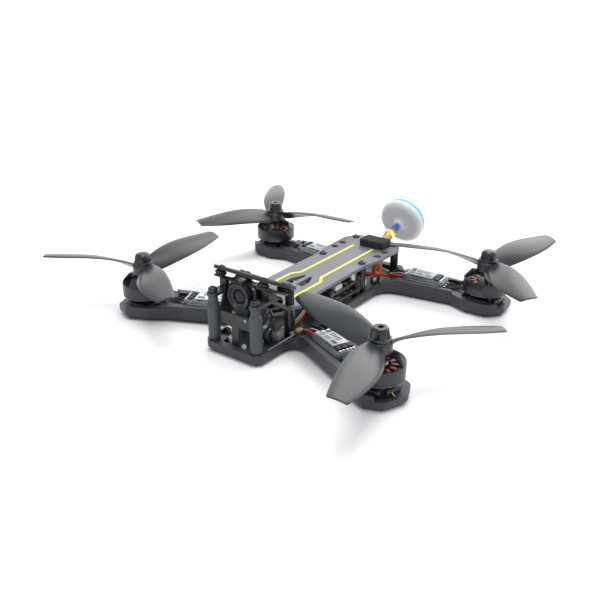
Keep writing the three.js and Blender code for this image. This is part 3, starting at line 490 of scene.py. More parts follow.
def repeating_tree():
    """Geometry Nodes that put one part on every point, with its turn, growth and material."""
    tree = bpy.data.node_groups.new("repeat_on_points", "GeometryNodeTree")
    face = tree.interface
    face.new_socket("Geometry", in_out="INPUT", socket_type="NodeSocketGeometry")
    face.new_socket("Part", in_out="INPUT", socket_type="NodeSocketObject")
    face.new_socket("Size", in_out="INPUT", socket_type="NodeSocketFloat").default_value = 1.0
    face.new_socket("Finish", in_out="INPUT", socket_type="NodeSocketMaterial")
    face.new_socket("Geometry", in_out="OUTPUT", socket_type="NodeSocketGeometry")
    new, link = tree.nodes.new, tree.links.new
    given, made = new("NodeGroupInput"), new("NodeGroupOutput")
    part = new("GeometryNodeObjectInfo")
    link(given.outputs["Part"], part.inputs["Object"])
    turn, growth = new("GeometryNodeInputNamedAttribute"), new("GeometryNodeInputNamedAttribute")
    turn.data_type, growth.data_type = "FLOAT_VECTOR", "FLOAT"
    turn.inputs["Name"].default_value, growth.inputs["Name"].default_value = "turn", "growth"
    euler = new("FunctionNodeEulerToRotation")
    link(turn.outputs["Attribute"], euler.inputs["Euler"])
    scale = new("ShaderNodeMath")
    scale.operation = "MULTIPLY"
    link(growth.outputs["Attribute"], scale.inputs[0])
    link(given.outputs["Size"], scale.inputs[1])
    copies = new("GeometryNodeInstanceOnPoints")
    link(given.outputs["Geometry"], copies.inputs["Points"])
    link(part.outputs["Geometry"], copies.inputs["Instance"])
    link(euler.outputs["Rotation"], copies.inputs["Rotation"])
    link(scale.outputs["Value"], copies.inputs["Scale"])
    solid, coat = new("GeometryNodeRealizeInstances"), new("GeometryNodeSetMaterial")
    link(copies.outputs["Instances"], solid.inputs["Geometry"])
    link(solid.outputs["Geometry"], coat.inputs["Geometry"])
    link(given.outputs["Finish"], coat.inputs["Material"])
    link(coat.outputs["Geometry"], made.inputs["Geometry"])
    return tree


REPEAT = repeating_tree()


def repeated(name, part, places, material, body="airframe", sharp=38):
    """One piece made of a part put at every place: (position, turn in degrees, growth)."""
    bmesh.ops.scale(part, vec=(MM, MM, MM), verts=part.verts)
    part_mesh = bpy.data.meshes.new(name + "_part")
    part.to_mesh(part_mesh)
    part.free()
    sample = bpy.data.objects.new(name + "_part", part_mesh)
    scene.collection.objects.link(sample)
    dots = bpy.data.meshes.new(name + "_points")
    dots.from_pydata([Vector(p) * MM for p, _, _ in places], [], [])
    turns = [math.radians(angle) for _, turn, _ in places for angle in turn]
    dots.attributes.new("turn", "FLOAT_VECTOR", "POINT").data.foreach_set("vector", turns)
    growths = [growth for _, _, growth in places]
    dots.attributes.new("growth", "FLOAT", "POINT").data.foreach_set("value", growths)
    holder = bpy.data.objects.new(name + "_points", dots)
    scene.collection.objects.link(holder)
    repeat = holder.modifiers.new("repeat", "NODES")
    repeat.node_group = REPEAT
    sockets = {s.name: s.identifier for s in REPEAT.interface.items_tree if s.in_out == "INPUT"}
    repeat[sockets["Part"]] = sample
    repeat[sockets["Size"]] = 1.0
    repeat[sockets["Finish"]] = material
    mesh = bpy.data.meshes.new_from_object(holder.evaluated_get(bpy.context.evaluated_depsgraph_get()))
    mesh.materials.clear()
    bpy.data.objects.remove(holder)
    bpy.data.objects.remove(sample)
    return dressed(name, mesh, material, body, sharp=sharp)


def button_screw(radius=2.6, height=1.7, socket=1.15):
    """A button-head screw's head with its hexagon socket, seated on z = 0."""
    head = turned(
        [(0, 0), (radius, 0), (radius, height * 0.35), (radius * 0.72, height * 0.86), (0, height)], 28
    )
    hexagon = slab(disc(0, 0, socket, 6), height * 0.35, height * 2)
    return carved(head, [hexagon])


# ------------------------------------------------------------------ lower frame


def arm_line(end):
    """The right-hand arm of one end: its motor, direction and side direction."""
    root = Vector((20, -38 if end < 0 else 62))
    hub = Vector((MOTOR_X, end * MOTOR_Y))
    out = (hub - root).normalized()
    forward = Vector((out.y, -out.x))
    return hub, out, forward, (hub - root).length


def arm_outline(end, front_x, rear_x, front_radius, rear_radius):
    """One arm's edge and its motor pad, from its front root round to its rear root."""
    hub, out, forward, _ = arm_line(end)
    neck_half, root_half = (12.9, 10.6) if end < 0 else (10.4, 14.8)
    cut = PAD_HALF * PAD_CORNER_SHARE

    def meets(v, x):
        point = hub + forward * v
        return point.y + (x - point.x) * out.y / out.x

    around = [(-PAD_HALF - 3, neck_half, 4), (-cut, PAD_HALF, 5), (cut, PAD_HALF, 5), (PAD_HALF, cut, 5)]
    around += [(u, -v, r) for u, v, r in reversed(around)]
    points = [(*(hub + out * u + forward * v), r) for u, v, r in around]
    return [
        (front_x, meets(root_half, front_x), front_radius), *points,
        (rear_x, meets(-root_half, rear_x), rear_radius)
    ]


def sided(shape, side):
    """Mirrors a right-hand shape for the left-hand side."""
    if side < 0:
        shape.transform(Matrix.Scale(-1, 4, (1, 0, 0)))
        bmesh.ops.reverse_faces(shape, faces=shape.faces)
    return shape


def arm_place(end):
    """The transform of an arm's own axes: X outwards, origin at its motor."""
    hub, out, _, _ = arm_line(end)
    return Matrix.Translation((*hub, 0)) @ Matrix.Rotation(math.atan2(out.y, out.x), 4, "Z")


def rectangle(x0, x1, y0, y1, radius=1.0):
    """A rounded rectangle, anticlockwise."""
    return rounded([(x0, y0, radius), (x1, y0, radius), (x1, y1, radius), (x0, y1, radius)], 5)


def make_tray():
    """The moulded tray with its arms, pads, bays and screw holes, cut from one hull."""
    outline = rounded(
        mirrored(
            [
                (17, -83, 3),
                (20.2, -79.2, 4),
                *arm_outline(-1, 20.2, 21, 12, 14),
                *arm_outline(1, 21, 21, 14, 7),
                (16, TAIL_Y, 3),
            ]
        ),
        9,
    )
    levels = [(2, 0), (1.85, 0.12), (0.2, 2.5), (0.04, 2.8), (0, 3.2), (0.12, ARM_RIM + 3)]
    hull = ring_loft([[(*p, z) for p in inset(outline, i)] for i, z in levels])
    high = ARM_RIM + 12
    drop = [(-21, BODY_RIM), (21, BODY_RIM), (29, ARM_RIM), (29, high), (-29, high), (-29, ARM_RIM)]
    along = ring_loft([[(x, y, z) for x, z in drop] for y in (-100, 100)])
    tools = [slab(rectangle(-140, 140, -140, 140), ARM_RIM, high), along]
    bay = rounded(mirrored([(18.4, FRONT_POST_Y + 5.5, 4), (18.4, TAIL_Y - 5, 5)]), 8)
    tools.append(slab(bay, FLOOR_Z, high))
    tools.append(slab(rectangle(-9.4, 9.4, -79, FRONT_POST_Y + 8, 2), FLOOR_Z, high))
    for side, end, _, _ in CORNERS.values():
        hub, out, _, length = arm_line(end)
        inner, outer = -(length - 21.6 + 20 - 1), -18.8
        bay_half = 10.4 if end > 0 else 10.6
        shapes = [
            slab(disc(0, 0, 20.8, 48), PAD_RIM, high),
            slab(rectangle(-12, 20.8, -10.8, 20.8, 2.5), PAD_LIP, high),
            slab(disc(0, 0, FLANGE_RADIUS + 0.8, 48), MOTOR_FLOOR, high),
            slab(rectangle(inner, outer, WALL - bay_half, bay_half - WALL, 2), ESC_FLOOR, high),
            slab(rectangle(outer - 1, -12, -5, 5, 0.5), ESC_FLOOR, high),
            slab(rectangle(inner - 6, inner + 1, -5, 5, 0.5), BODY_RIM - 1, high),
            slab(disc(0, 0, 3), -1, MOTOR_FLOOR + 1),
        ]
        for x, y in BASE_SCREWS:
            shapes.append(slab(disc(x, y, 1.6, 16), -1, MOTOR_FLOOR + 1))
        tools += [sided(placed(shape, arm_place(end)), side) for shape in shapes]
    for y in POST_ROWS:
        tools += [slab(disc(side * PATTERN, y, 2.9), -1, 1.4) for side in (-1, 1)]
    piece(
        "tray", carved(hull, tools), MOULDING, replaces=["lower_frame"], bevel=0.45,
        sharp=32
    )


def make_underside_screws():
    """Screw heads sunk in the underside: the posts' and the motor bases'."""
    places = [
        ((side * PATTERN, y, 1.43), (180, 0, 0), 0.9)
        for y in POST_ROWS
        for side in (-1, 1)
    ]
    repeated("underside_screws", button_screw(), places, BLACK_STEEL)
    bases = []
    for side, end, _, _ in CORNERS.values():
        for x, y in BASE_SCREWS:
            spot = arm_place(end) @ Vector((x, y, MOTOR_FLOOR - 2.2))
            bases.append(((side * spot.x, spot.y, spot.z), (180, 0, 0), 0.55))
    repeated("motor_base_screws", button_screw(), bases, STEEL)


# ------------------------------------------------------------------ top plate


def plate_height(y):
    """Height of the plate's top face at a place along the body, with softly rounded bends."""
    bend, knee = PLATE_FRONT + 1, PLATE_FRONT + 1 - 14

    def ramp(t, soft=1.6):
        return t if t > soft else 0 if t < -soft else (t + soft) ** 2 / (4 * soft)

    rise = (PRONG_TOP - PLATE_TOP) / 14
    return PLATE_TOP + rise * (ramp(bend - y) - ramp(knee - y))


def make_top_plate():
    """The bent sheet: a flat outline cut across its bends, lifted to their heights and thickened."""
    inner, outer, tip = PATTERN - 3.1, PATTERN + 3.1, FRONT_POST_Y - 3.1
    outline = rounded(
        mirrored(
            [
                (inner - 5.5, PLATE_FRONT + 10, 4),
                (inner, PLATE_FRONT + 4, 3),
                (inner, tip, 3),
                (outer, tip, 3),
                (outer, PLATE_FRONT - 1, 2),
                (21.6, PLATE_FRONT + 8, 2),
                (18.6, PLATE_FRONT + 18, 5),
                (18.6, MID_POST_Y - 3, 6),
                (21.2, MID_POST_Y + 10, 4),
                (21.8, PLATE_REAR - 10, 3),
                (16.6, PLATE_REAR, 3),
            ]
        ),
        7,
    )
    # The outline's start is moved to the rear notch, which the antenna's connector passes through.
    notch = [(0.2, PLATE_REAR), (0.2, PLATE_REAR - 7), (9.8, PLATE_REAR - 7), (9.8, PLATE_REAR)]
    rear = [i for i, p in enumerate(outline) if p.y > PLATE_REAR - 1e-6]
    cut_at = max(rear, key=lambda i: outline[i].x) + 1
    outline[cut_at:cut_at] = [Vector(p) for p in reversed(notch)]
    holes = []
    for side in (-1, 1):
        corners = [(1.6, -24, 0.6), (6.8, -24, 1), (6.4, -17.5, 1.5), (3, -9, 0.6), (1.4, -9, 0.5)]
        slot = rounded([(side * x, y, radius) for x, y, radius in corners])
        holes.append(slot)
        holes += [disc(side * 16.8, y, 2.6) for y in (45.5, 55)]
        middle = PLATE_FRONT + 1 - 7
        holes.append(rectangle(side * PATTERN - 1.4, side * PATTERN + 1.4, middle - 4.5, middle + 4.5, 1.2))
    loops = [outline, *holes]
    flat = [p for loop in loops for p in loop]
    shape = bmesh.new()
    verts = [shape.verts.new((*p, 0)) for p in flat]
    for triangle in tessellate_polygon([[Vector((*p, 0)) for p in loop] for loop in loops]):
        if len(set(triangle)) == 3:
            shape.faces.new([verts[i] for i in triangle])
    for k in range(40):
        y = PLATE_FRONT + 4 - k * 0.6
        geometry = [*shape.verts, *shape.edges, *shape.faces]
        bmesh.ops.bisect_plane(shape, geom=geometry, plane_co=(0, y, 0), plane_no=(0, 1, 0))
    for face in shape.faces:
        if face.normal.z < 0:
            face.normal_flip()
    for vert in shape.verts:
        vert.co.z = plate_height(vert.co.y)
    extruded = bmesh.ops.extrude_face_region(shape, geom=shape.faces[:])
    lower = [v for v in extruded["geom"] if isinstance(v, bmesh.types.BMVert)]
    for vert in lower:
        slope = (plate_height(vert.co.y + 0.05) - plate_height(vert.co.y - 0.05)) / 0.1
        normal = Vector((0, -slope, 1)).normalized()
        vert.co -= normal * (PLATE_TOP - PLATE_UNDER)
    bmesh.ops.recalc_face_normals(shape, faces=shape.faces)
    bmesh.ops.dissolve_limit(shape, angle_limit=0.002, verts=shape.verts, edges=shape.edges)
    # Faces in front of the bend take the darker copy of the plate's grey: painted shade on the prongs.
    for face in shape.faces:
        if face.calc_center_median().y < PLATE_FRONT + 2:
            face.material_index = 1
    piece("top_plate_sheet", shape, [PLATE, PRONG_PAINTED_SHADE], replaces=["top_plate"], bevel=0.22)


def make_stripes():
    """Two painted lines along the plate, each stepping outwards at the slots."""
    shapes = []
    for side in (-1, 1):
        path = [(7.6, 55), (7.6, -6), (11.4, -12), (11.4, -46), (13.4, PLATE_FRONT + 3)]
        points = [Vector((side * x, y)) for x, y in path]
        edges = ([], [])
        for i, at in enumerate(points):
            before = (at - points[i - 1]).normalized() if i else (points[1] - at).normalized()
            after = (points[i + 1] - at).normalized() if i + 1 < len(points) else before
            along = (before + after).normalized()
            sideways = Vector((-along.y, along.x)) * 0.85 / along.dot(before)
            edges[0].append(at + sideways)
            edges[1].append(at - sideways)
        outline = edges[0] + edges[1][::-1]
        shapes.append(slab([Vector(p) for p in outline], PLATE_TOP + 0.005, PLATE_TOP + 0.07))
    piece("painted_stripes", merged(*shapes), YELLOW)


def make_plate_screws():
    """Heads of the four screws that hold the plate to the middle and rear posts."""
    screws = [((s * PATTERN, MID_POST_Y, PLATE_TOP), (0, 0, 20 * s), 1.0) for s in (-1, 1)]
    screws += [((s * PATTERN, REAR_POST_Y - 1.8, PLATE_TOP), (0, 0, 35 * s), 1.0) for s in (-1, 1)]
    repeated("plate_screws", button_screw(2.6, 1.5), screws, BLACK_STEEL)


# ------------------------------------------------------------------ standoffs


def make_posts():
    """Two sleeved posts with cap screws at the nose, and three pairs of plain ones."""
    for label, side in SIDES.items():
        x = side * PATTERN
        under = PRONG_TOP - 2
        sleeve_top = under - 3.4
        radius = (standoff_box[1].x - standoff_box[0].x) / 2
        sleeve = turned(
            [
                (0, BODY_RIM),
                (radius * 0.86, BODY_RIM),
                (radius, BODY_RIM + 1.2),
                (radius, sleeve_top - 1.6),
                (radius - 0.9, sleeve_top),
                (2.7, sleeve_top),
                (2.7, under),
                (0, under),
            ],
            48,
            0.5,
        )
        spot = Matrix.Translation((x, FRONT_POST_Y, 0))
        piece(
            f"nose_sleeve_{label}", placed(sleeve, spot), SLEEVE, replaces=[f"front_standoff_{label}"],
        )
        cap = turned(
            [
                (0, PRONG_TOP), (2.6, PRONG_TOP), (2.6, PRONG_TOP + 2.2), (1.9, PRONG_TOP + 3),
                (0, PRONG_TOP + 3)
            ],
            40, 0.4
        )
        cap = carved(cap, [slab(disc(0, 0, 1.3, 6), PRONG_TOP + 1.2, PRONG_TOP + 5)])
        piece(
            f"nose_cap_{label}", placed(cap, spot), BLACK_STEEL, replaces=[f"front_screw_{label}"],
        )
        for name, y in (("cage", CAGE_POST_Y), ("mid", MID_POST_Y), ("rear", REAR_POST_Y)):
            low, high = span(f"{name}_standoff_{label}")
            width = (high.x - low.x) / 2
            waist = width - 0.3
            profile = [
                (0, FLOOR_Z),
                (waist, FLOOR_Z),
                (waist, FLOOR_Z + 1),
                (width, FLOOR_Z + 1.1),
                (width, PLATE_UNDER - 1.1),
                (waist, PLATE_UNDER - 1),
                (waist, PLATE_UNDER),
                (0, PLATE_UNDER),
            ]
            post = placed(turned(profile, 36, 0.2), Matrix.Translation((x, y, 0)))
            piece(
                f"{name}_post_{label}", post, ANODISED, replaces=[f"{name}_standoff_{label}"],
            )


# ------------------------------------------------------------------ motors


def bell_shape():
    """Skirt, shoulder with four windows, and hub with a raised boss and a bore for the shaft; also the ring of
    magnets.
    """
    around = 96
    inner = BELL_RADIUS - 1.4
    outline = [
        (BELL_RADIUS - 0.35, BELL_SKIRT),
        (BELL_RADIUS, BELL_SKIRT + 0.35),
        (BELL_RADIUS, BELL_SKIRT + 1.1),
        (BELL_RADIUS - 0.18, BELL_SKIRT + 1.25),
        (BELL_RADIUS - 0.18, BELL_SKIRT + 1.6),
        (BELL_RADIUS, BELL_SKIRT + 1.75),
        (BELL_RADIUS, BELL_SHOULDER - 0.5),
        (BELL_RADIUS - 0.25, BELL_SHOULDER),
        (BELL_RADIUS - 1.1, BELL_SHOULDER + 1),
        (BELL_RADIUS - 3.6, BELL_TOP - 0.5),
        (BELL_RADIUS - 4.4, BELL_TOP - 0.1),
        (5.4, BELL_TOP),
        (4.6, BELL_TOP + 0.1),
        (4.6, HUB_Z - 0.02),
        (2.3, HUB_Z - 0.02),
    ]
    shape = bmesh.new()
    rows = [[shape.verts.new((p.x, p.y, z)) for p in disc(0, 0, r, around)] for r, z in outline]
    windows = range(7, 11)
    for i, (low, high) in enumerate(zip(rows, rows[1:])):
        for k in range(around):
            n = (k + 1) % around
            if i in windows and (k % (around // 4)) >= 7:
                continue
            shape.faces.new((low[k], low[n], high[n], high[k]))
    bmesh.ops.recalc_face_normals(shape, faces=shape.faces)
    if shape.faces[:][0].normal.dot(shape.faces[:][0].calc_center_median()) < 0:
        bmesh.ops.reverse_faces(shape, faces=shape.faces)
    loose = [v for v in shape.verts if not v.link_faces]
    bmesh.ops.delete(shape, geom=loose, context="VERTS")
    bmesh.ops.solidify(shape, geom=shape.faces[:], thickness=1.2)
    for vert in shape.verts:
        radial = Vector((vert.co.x, vert.co.y, 0))
        if radial.length < 2.2:
            vert.co.xy = radial.xy.normalized() * 2.2
    bmesh.ops.recalc_face_normals(shape, faces=shape.faces)
    outer, low, high = inner - 0.05, BELL_SKIRT + 0.9, BELL_SHOULDER - 1
    inner -= 0.4
    magnets = closed_turn([(outer, low), (outer, high), (inner, high), (inner, low)], around, 0)
    return shape, magnets


def coil_part():
    """One wound tooth of the stator, its windings as rounded turns."""
    turns = []
    for k in range(5):
        z = -2.1 + k * 1.05
        turns.append(brick((4.6, 3.6 - abs(k - 2) * 0.35, 0.95), (0, 0, z), 0.42))
    return merged(*turns)


def make_motor(name):
    """One motor: the fixed base, windings and teeth, and the turning bell, shaft and magnets."""
    side, end, spin, phase = CORNERS[name]
    spot = Matrix.Translation((side * MOTOR_X, end * MOTOR_Y, 0))
    body = f"rotor_{name}"
    base = turned(
        [
            (0, MOTOR_FLOOR),
            (FLANGE_RADIUS, MOTOR_FLOOR),
            (FLANGE_RADIUS, MOTOR_FLOOR + 3.2),
            (FLANGE_RADIUS - 1.2, MOTOR_FLOOR + 4.2),
            (6, MOTOR_FLOOR + 4.6),
            (5, BELL_SKIRT + 1.2),
            (5, CORE_TOP),
            (0, CORE_TOP),
        ],
        56,
        0.35,
    )
    notches = []
    for k in range(4):
        a = math.radians(45 + 90 * k)
        notch = slab(
            rectangle(FLANGE_RADIUS - 2.4, FLANGE_RADIUS + 2, -1.5, 1.5, 0.4), MOTOR_FLOOR + 1.4,
            MOTOR_FLOOR + 6
        )
        notches.append(placed(notch, Matrix.Rotation(a, 4, "Z")))
    piece(
        f"motor_base_{name}", placed(carved(base, notches), spot), BELL_BLACK,
        replaces=[f"motor_stator_{name}"], bevel=0.12,
    )
    middle = (BELL_SKIRT + 0.9 + CORE_TOP) / 2
    places, teeth = [], []
    for k in range(12):
        a = 2 * math.pi * k / 12
        x, y = side * MOTOR_X + 8.1 * math.cos(a), end * MOTOR_Y + 8.1 * math.sin(a)
        places.append(((x, y, middle), (0, 0, math.degrees(a)), 1.0))
        x, y = side * MOTOR_X + 11.1 * math.cos(a), end * MOTOR_Y + 11.1 * math.sin(a)
        teeth.append(((x, y, middle), (0, 0, math.degrees(a)), 1.0))
    repeated(f"windings_{name}", coil_part(), places, COPPER)
    repeated(f"core_teeth_{name}", brick((1.5, 5, 4.4), edge=0.15), teeth, LAMINATE)
    shell, magnets = bell_shape()
    shaft = turned(
        [
            (0, MOTOR_FLOOR + 0.8), (1.5, MOTOR_FLOOR + 0.8), (1.5, BELL_TOP - 3), (2.45, BELL_TOP - 3),
            (2.45, NUT_TOP - 2), (0, NUT_TOP - 2)
        ],
        28, 0.2
    )
    rim = closed_turn(
        [
            (BELL_RADIUS - 1.2, BELL_SKIRT), (BELL_RADIUS - 0.32, BELL_SKIRT),
            (BELL_RADIUS - 0.02, BELL_SKIRT + 0.3), (BELL_RADIUS - 0.02, BELL_SKIRT + 0.52),
            (BELL_RADIUS - 1.2, BELL_SKIRT + 0.52)
        ],
        96, 0
    )
    whole = merged(shell, painted(merged(rim, shaft), 1), painted(magnets, 2))
    piece(
        f"bell_{name}", placed(whole, spot), [BELL_BLACK, MACHINED, LAMINATE], body,
        replaces=[f"motor_bell_{name}"], sharp=30,
    )
    make_propeller(name, spot, spin, phase)
    make_nut(name, spot, spin)


# ------------------------------------------------------------------ propellers


def blade_section(t, spin):
    """An aerofoil section at a share t of the way from root to tip."""
    radius = 4.5 + (PROP_RADIUS - 4.5) * t
    swell = math.sin(math.pi * min(1, 0.1 + 0.8 * t))
    chord = PROP_RADIUS * (0.1 + 0.185 * swell)
    lift = 0.076 * PROP_RADIUS * math.sin(math.pi / 2 * min(1, 1.7 * t))
    room = 0.38 * HUB_HEIGHT + lift
    steepest = math.asin(min(1, room / (0.5 * chord)))
    pitch = min(math.atan2(0.27 * PROP_RADIUS, radius + 0.18 * PROP_RADIUS) - 0.03, steepest)
    sweep = -0.02 * PROP_RADIUS * math.sin(math.pi * t)
    thickness = 2 - 1.1 * math.sqrt(t)
    camber = 0.07 * chord
    centre = HUB_Z + 0.5 * HUB_HEIGHT + lift
    reach = math.sqrt(max(radius**2 - (0.5 * chord) ** 2, 1))
    rounding = 1.0
    if t > 0.975:
        rounding = math.sqrt(max(0.0, 1 - ((t - 0.975) / 0.0255) ** 2)) * 0.07 + 0.93
    points = []
    count = 9
    shares = [-0.5 * math.cos(math.pi * k / (count - 1)) for k in range(count)]
    for above, order in ((-1, shares), (1, list(reversed(shares))[1:-1])):
        for share in order:
            across = share * chord * rounding
            edge = math.sqrt(max(0.0, 1 - (2 * share) ** 2)) * 0.85 + 0.15
            bow = camber * (1 - 4 * share * share) + above * 0.5 * thickness * edge
            bow = bow if above > 0 else bow * 0.8 - 0.1 * thickness
            sideways = across * math.cos(pitch) - bow * math.sin(pitch) + sweep
            height = across * math.sin(pitch) + bow * math.cos(pitch)
            points.append(Vector((reach, spin * sideways, centre + height)))
    return points


def make_propeller(name, spot, spin, phase):
    """A hub with three blades, seated on the bell and recessed for the nut."""
    top = HUB_Z + HUB_HEIGHT
    hub = turned(
        [(0, HUB_Z), (HUB_RADIUS - 0.5, HUB_Z), (HUB_RADIUS, HUB_Z + 0.6), (HUB_RADIUS, top - 1.1),
         (HUB_RADIUS - 0.9, top), (0, top)], 56, 0.35,
    )
    stations = [0, 0.05, 0.1, 0.16, 0.23, 0.31, 0.4, 0.5, 0.6, 0.7, 0.8, 0.88, 0.94, 0.975, 0.988, 0.996, 1]
    blades = []
    for k in range(3):
        sections = [blade_section(t, spin) for t in stations]
        blades.append(placed(ring_loft(sections), Matrix.Rotation(math.radians(phase + 120 * k), 4, "Z")))
    solid = carved(hub, blades, "UNION")
    cutters = [
        slab(disc(0, 0, 2.6), HUB_Z - 3, top + 3),
        slab(disc(0, 0, 6.35, 48), top, top + 6),
        slab(disc(0, 0, 14, 48), HUB_Z - 6, HUB_Z),
    ]
    solid = carved(solid, cutters)
    piece(
        f"three_blade_{name}", placed(solid, spot), BLADE, f"rotor_{name}",
        replaces=[f"propeller_{name}"], sharp=42,
    )


def make_nut(name, spot, spin):
    """A domed nut for one sense of turning, a blunt cone for the other."""
    top = NUT_TOP
    skirt = [(0, NUT_Z), (6, NUT_Z), (6, NUT_Z + 1.2), (5.2, NUT_Z + 1.35)]
    if spin > 0:
        crown = [
            (5.1, NUT_Z + 2.4), (5.0, top - 3.2), (4.75, top - 3.1), (4.75, top - 2.7),
            (4.95, top - 2.6), (4.3, top - 1.1), (3.2, top - 0.3), (1.6, top - 0.02), (0, top)
        ]
    else:
        crown = [
            (5.1, NUT_Z + 2.0), (4.3, top - 0.7), (3.7, top), (1.5, top), (1.5, top - 1.6),
            (0, top - 1.6)
        ]
    nut = turned(skirt + crown, 48, 0.3)
    piece(
        f"spinner_nut_{name}", placed(nut, spot), ANODISED, f"rotor_{name}",
        replaces=[f"prop_nut_{name}"],
    )


# ------------------------------------------------------------------ speed controllers and wires

wires = {colour: [] for colour in WIRES}


def make_speed_controllers():
    """Shrink-wrapped boards with a label, chips and solder pads, and the wires at both ends."""
    for name, (side, end, _, _) in CORNERS.items():
        place = arm_place(end) @ Matrix.Translation((-ESC_SETBACK, 0, 0))
        low, high = ESC_FLOOR, ESC_FLOOR + ESC_HEIGHT
        outline = rectangle(-ESC_HALF_LENGTH, ESC_HALF_LENGTH, -ESC_HALF_WIDTH, ESC_HALF_WIDTH, 1.6)
        steps = [
            (1.0, low), (0.25, low + 0.5), (0, low + 1.3), (0.05, high - 1.6), (0.35, high - 0.7),
            (1, high - 0.22)
        ]
        case = ring_loft([[(*p, z) for p in inset(outline, level)] for level, z in steps])
        for vert in case.verts:
            pinch = max(0, abs(vert.co.x) - 11.6) / 2.9
            vert.co.z = low + (vert.co.z - low) * (1 - 0.3 * pinch)
            vert.co.y *= 1 - 0.08 * pinch
        label = painted(slab(rectangle(-11.2, 6.6, -5.5, 5.5, 0.5), high - 0.4, high - 0.1, 0.05), 1)
        bars = [(-9.2, 2.6, 2.4, 4.2)]
        bars += [(-5.6 + 1.9 * k, 1.1, 2.1, 3.2) for k in range(5)]
        bars += [
            (-8.6, 3.6, -1.6, 0.6), (-8.6, 3.6, -3, 0.6), (-3.4, 4.6, -1.6, 0.6), (-3.4, 4.6, -3, 0.6),
            (3, 4.6, -2.3, 2.4)
        ]
        bars += [(-2.3, 17, 5.1, 0.35), (-2.3, 17, -5.1, 0.35)]
        marks = [
            painted(
                slab(
                    rectangle(x - w / 2, x + w / 2, y - d / 2, y + d / 2, 0.1), high - 0.15, high - 0.04
                ),
                2
            ) for x,
            w, y, d in bars
        ]
        parts = [painted(brick((3, 3, 1.3), (9.6, y, high - 0.65), 0.15), 3) for y in (-3.7, 0, 3.7)]
        parts += [
            painted(brick((1.2, 1.6, 1.1), (12.2, y, high - 1.2), 0.2), 4)
            for y in (-4.3, -2.1, 0.3, 2.4, 4.4)
        ]
        parts += [painted(brick((1.1, 2.4, 1.0), (-12.6, y, high - 1.15), 0.2), 4) for y in (-3.6, 0.2, 3.9)]
        # A silver band round the middle of the sides, in the label's finish: a painted highlight where the glossy
        # shrink catches the light.
        glint_band_outline = rectangle(-11.5, 11.5, -ESC_HALF_WIDTH, ESC_HALF_WIDTH, 0.4)
        painted_glint_band = painted(slab(glint_band_outline, low + 2.4, low + 3.1), 5)
        shape = sided(placed(merged(case, label, *marks, *parts, painted_glint_band), place), side)
        piece(
            f"esc_{name}", shape, [SHRINK, LABEL_AND_PAINTED_GLINT, INK, CHIP, SOLDER, LABEL_AND_PAINTED_GLINT],
            replaces=[f"speed_controller_{name}"], sharp=40,
        )
        pads = []
        for y in (-3.6, 0, 3.6):
            spot = place @ Vector((15, y, low + 1.7))
            pads.append(((side * spot.x, spot.y, spot.z), (0, 0, 0), 1.0))
        repeated(f"esc_pads_{name}", brick((1.8, 1.6, 1.2), edge=0.5), pads, SOLDER)
        for k in range(3):
            y = -3.6 + 3.6 * k
            run = [
                (15, y, low + 1.7), (17.5, y * 0.9, low + 2.2), (21, y * 0.75, low + 1.6),
                (26, y * 0.7, MOTOR_FLOOR + 4.6), (29.8, y * 0.8, MOTOR_FLOOR + 4.0)
            ]
            add_arm_wire("black", run, place, side, 0.62)
        inner = [(-13.8, low + 2.2), (-17.5, low + 2.6), (-22, low + 2.2), (-26, low + 0.6)]
        for y, colour, radius in (
            (-3.4, "red", 0.95), (3.4, "black", 0.95), (0.6, "white", 0.5), (-0.7, "black", 0.5)
        ):
            add_arm_wire(
                colour,
                [
                    (x, y * (1 + 0.1 * i), z + 0.3 * math.sin(i * 2 + y)) for i,
                    (x, z) in enumerate(inner)
                ],
                place, side, radius
            )


def add_arm_wire(colour, points, place, side, radius):
    """Keeps one wire, given in an arm's own axes, for the piece of its colour."""
    run = [place @ Vector(p) for p in points]
    wires[colour].append(wire([(side * p.x, p.y, p.z) for p in run], radius))


